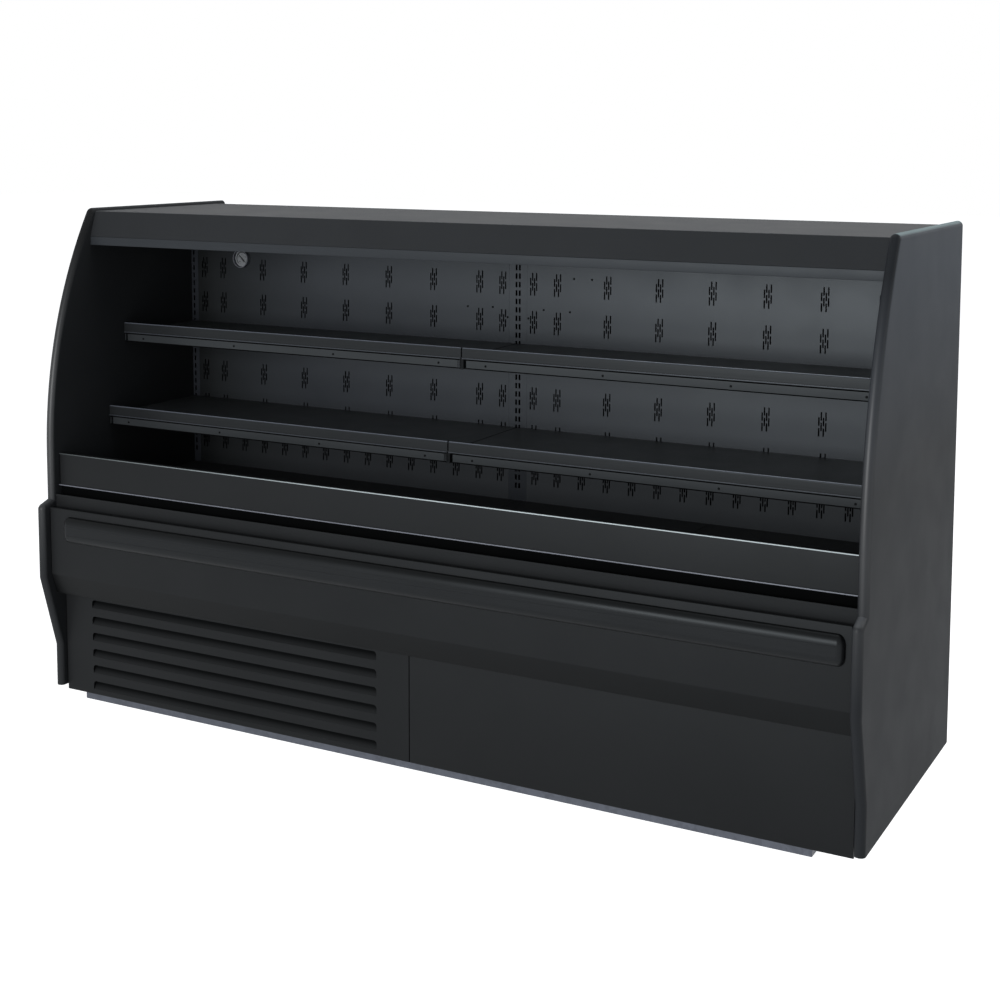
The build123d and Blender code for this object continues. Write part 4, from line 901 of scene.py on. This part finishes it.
# %% [markdown]
# ## The perforated rear panels
# Cold air leaves through short punched slots, in groups of four staggered columns. Each panel is a
# plane that is cut by bisecting along every slot's sides and ends, loses the faces that are holes,
# and is then given its thickness. The lowest row stands closer together, where most of the air comes
# out. One group beside the last shelf upright is only part of the pitch away, as on the real case.

# %% Perforated rear panels
slot_width = 0.0042
slot_height = 0.0235
slot_column = 0.0065
slot_gap = 0.0295
stagger = 0.015
row_tops = [1.314, 1.200, 1.086, 0.971, 0.857]
low_row_top = 0.743
row_places = [0.052, 0.131, 0.293, 0.455, 0.616, 0.777, 0.939, 1.100, 1.177]
low_row_places = [0.059, 0.133, 0.213, 0.294, 0.375, 0.455, 0.536, 0.616, 0.697, 0.777, 0.858]
low_row_places += [0.939, 1.019, 1.100, 1.180]


def group_slots(middle, top):
    """Left, right, bottom and top of the eight slots of one group."""
    slots = []
    for column in range(4):
        x = middle + (column - 1.5) * slot_column
        for step in range(2):
            high = top - step * slot_gap - (stagger if column % 2 == 0 else 0.0)
            slots.append((x - slot_width / 2, x + slot_width / 2, high - slot_height, high))
    return slots


def bisect_faces(piece, test, normal, cuts):
    """Cut the faces that pass the test by one plane for each distance along a normal."""
    for cut in cuts:
        pick(piece, "faces", test)
        bpy.ops.mesh.bisect(plane_co=Vector(normal) * cut, plane_no=normal, threshold=1e-6)
        close_edit()


def perforated_panel(hand):
    """One rear panel: a plane cut to slots, with a return along its foot, then thickened."""
    low, high = (Vector(corner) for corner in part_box(f"duct_panel_{hand}"))
    side = 1 if hand == "right" else -1
    face_y = high.y - wall_sheet
    middle = (low + high) / 2
    panel = started(f"duct_panel_{hand}_sheet", bpy.ops.mesh.primitive_plane_add, size=1.0)
    size = (high.x - low.x, high.z - low.z, 1.0)
    settle(panel, (middle.x, face_y, middle.z), (math.pi / 2, 0.0, 0.0), size)
    bands = [(top, [side * x for x in row_places]) for top in row_tops]
    bands.append((low_row_top, [side * x for x in low_row_places]))
    holes = []
    for top, places in bands:
        slots = [slot for middle in places for slot in group_slots(middle, top)]
        holes += slots
        heights = sorted({round(edge, 6) for slot in slots for edge in slot[2:]})
        bisect_faces(panel, lambda middle, normal: True, (0.0, 0.0, 1.0), (heights[0], heights[-1]))
        sides = sorted({round(edge, 6) for slot in slots for edge in slot[:2]})
        for direction, cuts in (((0.0, 0.0, 1.0), heights[1:-1]), ((1.0, 0.0, 0.0), sides)):
            bisect_faces(panel, lambda middle, normal: heights[0] < middle.z < heights[-1], direction, cuts)
    pick(
        panel, "faces",
        lambda middle, normal: any(a < middle.x < b and c < middle.z < d for a, b, c, d in holes),
    )
    bpy.ops.mesh.delete(type="FACE")
    close_edit()
    pick(panel, "edges", lambda middle, run: middle.z < low.z + 1e-6)
    bpy.ops.mesh.extrude_region_move(TRANSFORM_OT_translate={"value": (0.0, low.y - face_y, 0.0)})
    close_edit()
    pick(panel, "faces", lambda middle, normal: True)
    bpy.ops.mesh.normals_make_consistent(inside=False)
    close_edit()
    upper = max(panel.data.polygons, key=lambda face: face.area)
    if upper.normal.y > 0:
        pick(panel, "faces", lambda middle, normal: True)
        bpy.ops.mesh.flip_normals()
        close_edit()
    modify(panel, "SOLIDIFY", thickness=wall_sheet, offset=-1.0)
    hand_over(panel, f"duct_panel_{hand}")
    print(panel.name, len(panel.data.polygons), "faces", len(holes), "slots")


for hand in hands:
    perforated_panel(hand)

# %% [markdown]
# ## The air honeycomb
# Under the canopy a plastic honeycomb straightens the air curtain. It is a grid of small cells: a
# flat grid whose faces are inset one by one, emptied, and given the comb's depth.

# %% Air honeycomb
comb_cell = 0.0105
comb_web = 0.0009
comb_low, comb_high = (Vector(corner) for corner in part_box("air_honeycomb"))
comb_size = comb_high - comb_low
comb_count = (round(comb_size.x / comb_cell), round(comb_size.y / comb_cell))
comb = started(
    "air_honeycomb_grid", bpy.ops.mesh.primitive_grid_add,
    x_subdivisions=comb_count[0], y_subdivisions=comb_count[1], size=1.0,
)
comb_middle = (comb_low + comb_high) / 2
settle(comb, (comb_middle.x, comb_middle.y, comb_high.z), size=(comb_size.x, comb_size.y, 1.0))
pick(comb, "faces", lambda middle, normal: True)
bpy.ops.mesh.inset(thickness=comb_web, use_individual=True)
bpy.ops.mesh.delete(type="FACE")
close_edit()
modify(comb, "SOLIDIFY", thickness=comb_size.z, offset=-1.0)
hand_over(comb, "air_honeycomb")
print("honeycomb", comb_count, "cells", len(comb.data.polygons), "faces")

# %% [markdown]
# ## The dial thermometer
# The case, the needle's place and the lens come from the frame. A dial needs more to read as one:
# a rounded bezel, a card with a printed arc, graduations over 270 degrees and numbers, and a needle
# with a broad tail and a fine point. A long bar, a short bar and a piece of the arc are made once
# and copied round the dial. Numbers are text turned to a mesh before it is set in place.

# %% Thermometer card and bezel
case_low, case_high = (Vector(corner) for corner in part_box("thermometer_case"))
dial_middle = (case_low + case_high) / 2
dial_radius = (case_high.x - case_low.x) / 2
card_y = 0.2611
card_thick = 0.0004
card_radius = 0.0262
card_rim = 0.0012
card_dish = 0.00012
bezel_round = 0.0016


def on_dial(y):
    return (dial_middle.x, y, dial_middle.z)


def round_bar(name, radius, low_y, high_y, sides=48):
    """A disc on the dial's middle whose axis is Y, between two depths."""
    disc = new_cylinder(name, radius, high_y - low_y, sides)
    return settle(disc, on_dial((low_y + high_y) / 2), (math.pi / 2, 0.0, 0.0))


card = round_bar("thermometer_card", card_radius, card_y, card_y + card_thick)
pick(card, "faces", lambda middle, normal: normal.y < -0.9)
bpy.ops.mesh.inset(thickness=card_rim, depth=-card_dish)
close_edit()
hand_over(card, body="root", slot="dial_case", finish=card_grey)
bezel = new_ring("thermometer_bezel", dial_radius - bezel_round, bezel_round, 10)
settle(bezel, on_dial(case_low.y + 0.0001), (math.pi / 2, 0.0, 0.0))
hand_over(bezel, body="root", slot="dial_case", finish=case_grey)
print("card and bezel ready")

# %% Graduations
scale_start, scale_end = math.radians(225.0), math.radians(-45.0)
scale_steps = 27
scale_turn = (scale_end - scale_start) / scale_steps
scale_radius = 0.0208
arc_inner, arc_outer = scale_radius - 0.0017, scale_radius + 0.0014
arc_half = scale_radius * math.tan(abs(scale_turn) / 2) + 0.0001
tick_outer = card_radius - 0.0018
mark_front, mark_back = -0.00006, 0.00018


def dial_marks(inner, outer, half_wide, steps):
    """Copies of one raised bar that point away from the dial's middle, one for each step."""
    bar = new_box("mark", (inner, mark_front, -half_wide), (outer, mark_back, half_wide))
    turned = [
        settle(copy_of(bar, "mark"), on_dial(card_y), (0.0, -(scale_start + scale_turn * step), 0.0))
        for step in steps
    ]
    bpy.data.objects.remove(bar)
    return turned


marks = dial_marks(0.0206, tick_outer, 0.0009, range(0, scale_steps + 1, 3))
marks += dial_marks(0.0210, tick_outer, 0.0005, [step for step in range(scale_steps + 1) if step % 3])
marks += dial_marks(arc_inner, arc_outer, arc_half, [step + 0.5 for step in range(scale_steps)])
hand_over(joined("thermometer_ticks", marks), body="root", slot="dial_needle", finish=ink_black)
print("dial marks", len(marks))

# %% Numbers
figure_radius = 0.0142
figures = []
for index, words in enumerate(("-20", "-10", "0", "10", "20")):
    figure = started("figure", bpy.ops.object.text_add)
    figure.data.body = words
    figure.data.size = 0.0058
    figure.data.align_x = "CENTER"
    figure.data.align_y = "CENTER"
    figure.data.extrude = 0.00015
    figure.data.resolution_u = 2
    bpy.ops.object.convert(target="MESH")
    figure = bpy.context.object
    angle = scale_start + (scale_end - scale_start) * index / 4
    from_middle = Vector((math.cos(angle), 0.0, math.sin(angle))) * figure_radius
    figures.append(settle(figure, Vector(on_dial(card_y - 0.00002)) + from_middle, (math.pi / 2, 0.0, 0.0)))
hand_over(joined("thermometer_numbers", figures), body="root", slot="dial_needle", finish=ink_black)
print("numbers", len(figures))

# %% Needle and window
needle_low, needle_high = (Vector(corner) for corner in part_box("thermometer_needle"))
needle_turn = math.radians(135.0)
needle_point = 0.3
hub_front = needle_low.y - 0.0006
window_front, window_back = 0.2500, 0.2514
pointer = new_box("pointer", (-0.0135, -0.0002, -0.0031), (0.0195, 0.0002, 0.0031))
pick(pointer, "faces", lambda middle, normal: normal.x > 0.9)
bpy.ops.transform.resize(value=(1.0, 1.0, needle_point))
close_edit()
settle(pointer, on_dial((needle_low.y + needle_high.y) / 2), (0.0, -needle_turn, 0.0))
hub = round_bar("hub", 0.0028, hub_front, needle_high.y, sides=24)
round_edges(hub, lambda middle, run: middle.y < hub_front + 0.0001, 0.0005)
hand_over(joined("thermometer_pointer", [pointer, hub]), "thermometer_needle")
lens = round_bar("thermometer_window", dial_radius - 0.0024, window_front, window_back)
round_edges(lens, lambda middle, run: middle.y < window_front + 0.0001, 0.0009, 4)
hand_over(lens, "thermometer_lens")
print("needle and window ready")

# %% [markdown]
# ## Formed sheet and castings
# The pieces inside and behind have the right shapes already, but with the razor edges that no
# press or mould makes. Each is merged to clean faces and gets a small bevel wherever two faces meet
# at more than 35 degrees. Thin sheet takes a third of a millimetre, thicker pieces more.

# %% Formed pieces
def soften(node, width, segments):
    """Remake a node with a small bevel on its sharp edges."""
    piece = merged_copy(node, f"{node}_formed")
    modify(
        piece, "BEVEL", width=width, segments=segments, limit_method="ANGLE", angle_limit=math.radians(35),
        use_clamp_overlap=True,
    )
    hand_over(piece, node)
    weigh_normals(piece)
    print(node, len(piece.data.polygons), "faces")


thin_sheet = ["canopy_liner", "upright_left", "upright_centre", "upright_right", "light_housing"]
thin_sheet += ["rear_vent_cover", "base_pan", "tub_posts", "evaporator_fan_plate", "fan_shroud"]
thin_sheet += ["condensate_pan", "control_box"]
thin_sheet += [f"brackets_{section}" for section in sections]
thin_sheet += [f"deck_pan_{number}" for number in range(1, 5)]
edge_breaks = [
    (0.0003, 2, thin_sheet),
    (0.0012, 3, ["evaporator_fan_motors", "condenser_fan_motor", "power_inlet", "base_frame"]),
    (0.0004, 3, ["thermometer_case"]),
    (0.0005, 2, ["condenser_fan", "evaporator_fan_1", "evaporator_fan_2"]),
    (0.0015, 3, ["insulated_back", "insulated_front", "insulated_tub"]),
]
for width, segments, nodes in edge_breaks:
    for node in nodes:
        soften(node, width, segments)

# %% [markdown]
# ## Finned coils
# A coil is a stack of aluminium plates on copper tubes. Seen from any side it is the plates' edges
# that show, as fine lines, so the stack is one thin plate repeated along the coil by an Array that
# is applied at once. The block, tube plates and hairpin bends behind the edges are only softened.

# %% Finned coils
coil_end = 0.016
fin_proud = 0.0012
fin_thick = 0.0005


def dress_coil(node, lift, pitch):
    """Soften a coil and line it with fin edges, a pitch apart, from a lift above its foot."""
    soften(node, 0.0012, 3)
    low, high = (Vector(corner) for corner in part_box(node))
    start = low.x + coil_end
    length = high.x - low.x - 2 * coil_end
    fin = new_box(
        node.replace("_coil", "_fins"),
        (start, low.y - fin_proud, low.z + lift - fin_proud / 2),
        (start + fin_thick, high.y - fin_thick, high.z + fin_proud / 2),
    )
    count = int(length / pitch)
    modify(
        fin, "ARRAY", count=count, use_relative_offset=False, use_constant_offset=True,
        constant_offset_displace=(pitch, 0.0, 0.0),
    )
    hand_over(fin, body=body_of[node], slot=slot_of[node], finish=finish_of[node])
    print(fin.name, count, "plates")


dress_coil("condenser_coil", 0.018, 0.0028)
dress_coil("evaporator_coil", 0.008, 0.0050)

# %% [markdown]
# ## The compressor
# A hermetic compressor is two deep-drawn cups welded together: a pot with full shoulders, a weld
# bead round its waist, a pressed foot plate on rubber feet and a box over its terminals. The pot is
# a cylinder with its rims beveled until they are domes. The copper lines and the drain hose are
# drawn tube, so a bevel rounds the frame's many-sided runs.

# %% Compressor
shell_low, shell_high = (Vector(corner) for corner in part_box("compressor"))
shell_x, shell_y = ((shell_low + shell_high) / 2).xy
shell_radius = 0.0845
shoulder = 0.030
foot_top = shell_low.z + 0.017
foot_thick = 0.003
foot_corner = 0.020
weld_z = foot_top + 0.112
weld_round = 0.0022
terminal_out, terminal_half, terminal_up = 0.063, 0.030, 0.030
terminal_size = Vector((0.044, 2 * terminal_half, 0.060))
terminal_round = 0.005


def upright_can(name, low_z, high_z, radius, round_over, sides, segments):
    """A cylinder about Z with both rims rounded over, standing at the origin."""
    can = settle(new_cylinder(name, radius, high_z - low_z, sides), (0.0, 0.0, (low_z + high_z) / 2))
    round_edges(can, lambda middle, run: abs(run.z) < 1e-6, round_over, segments)
    return can


pot = upright_can("pot", foot_top, shell_high.z, shell_radius, shoulder, 48, 8)
settle(pot, (shell_x, shell_y, 0.0))
weld = settle(new_ring("weld", shell_radius, weld_round, 8), (shell_x, shell_y, weld_z))
foot_sheet = new_box(
    "foot_sheet", (shell_low.x, shell_low.y, foot_top - foot_thick), (shell_high.x, shell_high.y, foot_top)
)
round_edges(foot_sheet, lambda middle, run: abs(run.z) > 0.001, foot_corner, 5)
terminal_low = Vector((shell_x + terminal_out, shell_y - terminal_half, foot_top + terminal_up))
terminal_box = new_box("terminal_box", terminal_low, terminal_low + terminal_size)
round_edges(terminal_box, lambda middle, run: True, terminal_round)
shell = joined("compressor_shell", [pot, weld, foot_sheet, terminal_box])
hand_over(shell, "compressor")
print("compressor faces", len(shell.data.polygons))

# %% Feet, stubs and tubes
foot_radius, foot_round = 0.013, 0.003
foot_x, foot_y = 0.089, 0.059
stub_length, stub_gap, stub_round = 0.030, 0.005, 0.0008
stub_sizes = ((foot_top + 0.070, 0.0050), (foot_top + 0.130, 0.0080))
foot = upright_can("foot", shell_low.z, foot_top - foot_thick, foot_radius, foot_round, 24, 3)
feet = [
    settle(copy_of(foot, "foot"), (shell_x + side_x * foot_x, shell_y + side_y * foot_y, 0.0))
    for side_x in (-1, 1) for side_y in (-1, 1)
]
bpy.data.objects.remove(foot)
hand_over(joined("compressor_feet", feet), body="root", slot="bumper_plastic", finish=rubber_black)
stubs = []
for stub_z, stub_radius in stub_sizes:
    stub = new_cylinder("stub", stub_radius, stub_length, 16)
    settle(stub, (shell_x - shell_radius - stub_gap, shell_y, stub_z), (0.0, math.pi / 2, 0.0))
    round_edges(stub, lambda middle, run: abs(run.x) < 1e-6, stub_round, 2)
    stubs.append(stub)
hand_over(joined("compressor_stubs", stubs), body="root", slot="line_copper", finish=copper_tube)
for node in ("refrigerant_lines", "drain_hose"):
    tube = merged_copy(node, f"{node}_drawn")
    modify(tube, "BEVEL", width=0.0012, segments=2, limit_method="ANGLE", angle_limit=math.radians(30))
    hand_over(tube, node)
    smooth(tube, 60.0)
print("feet, stubs and tubes ready")
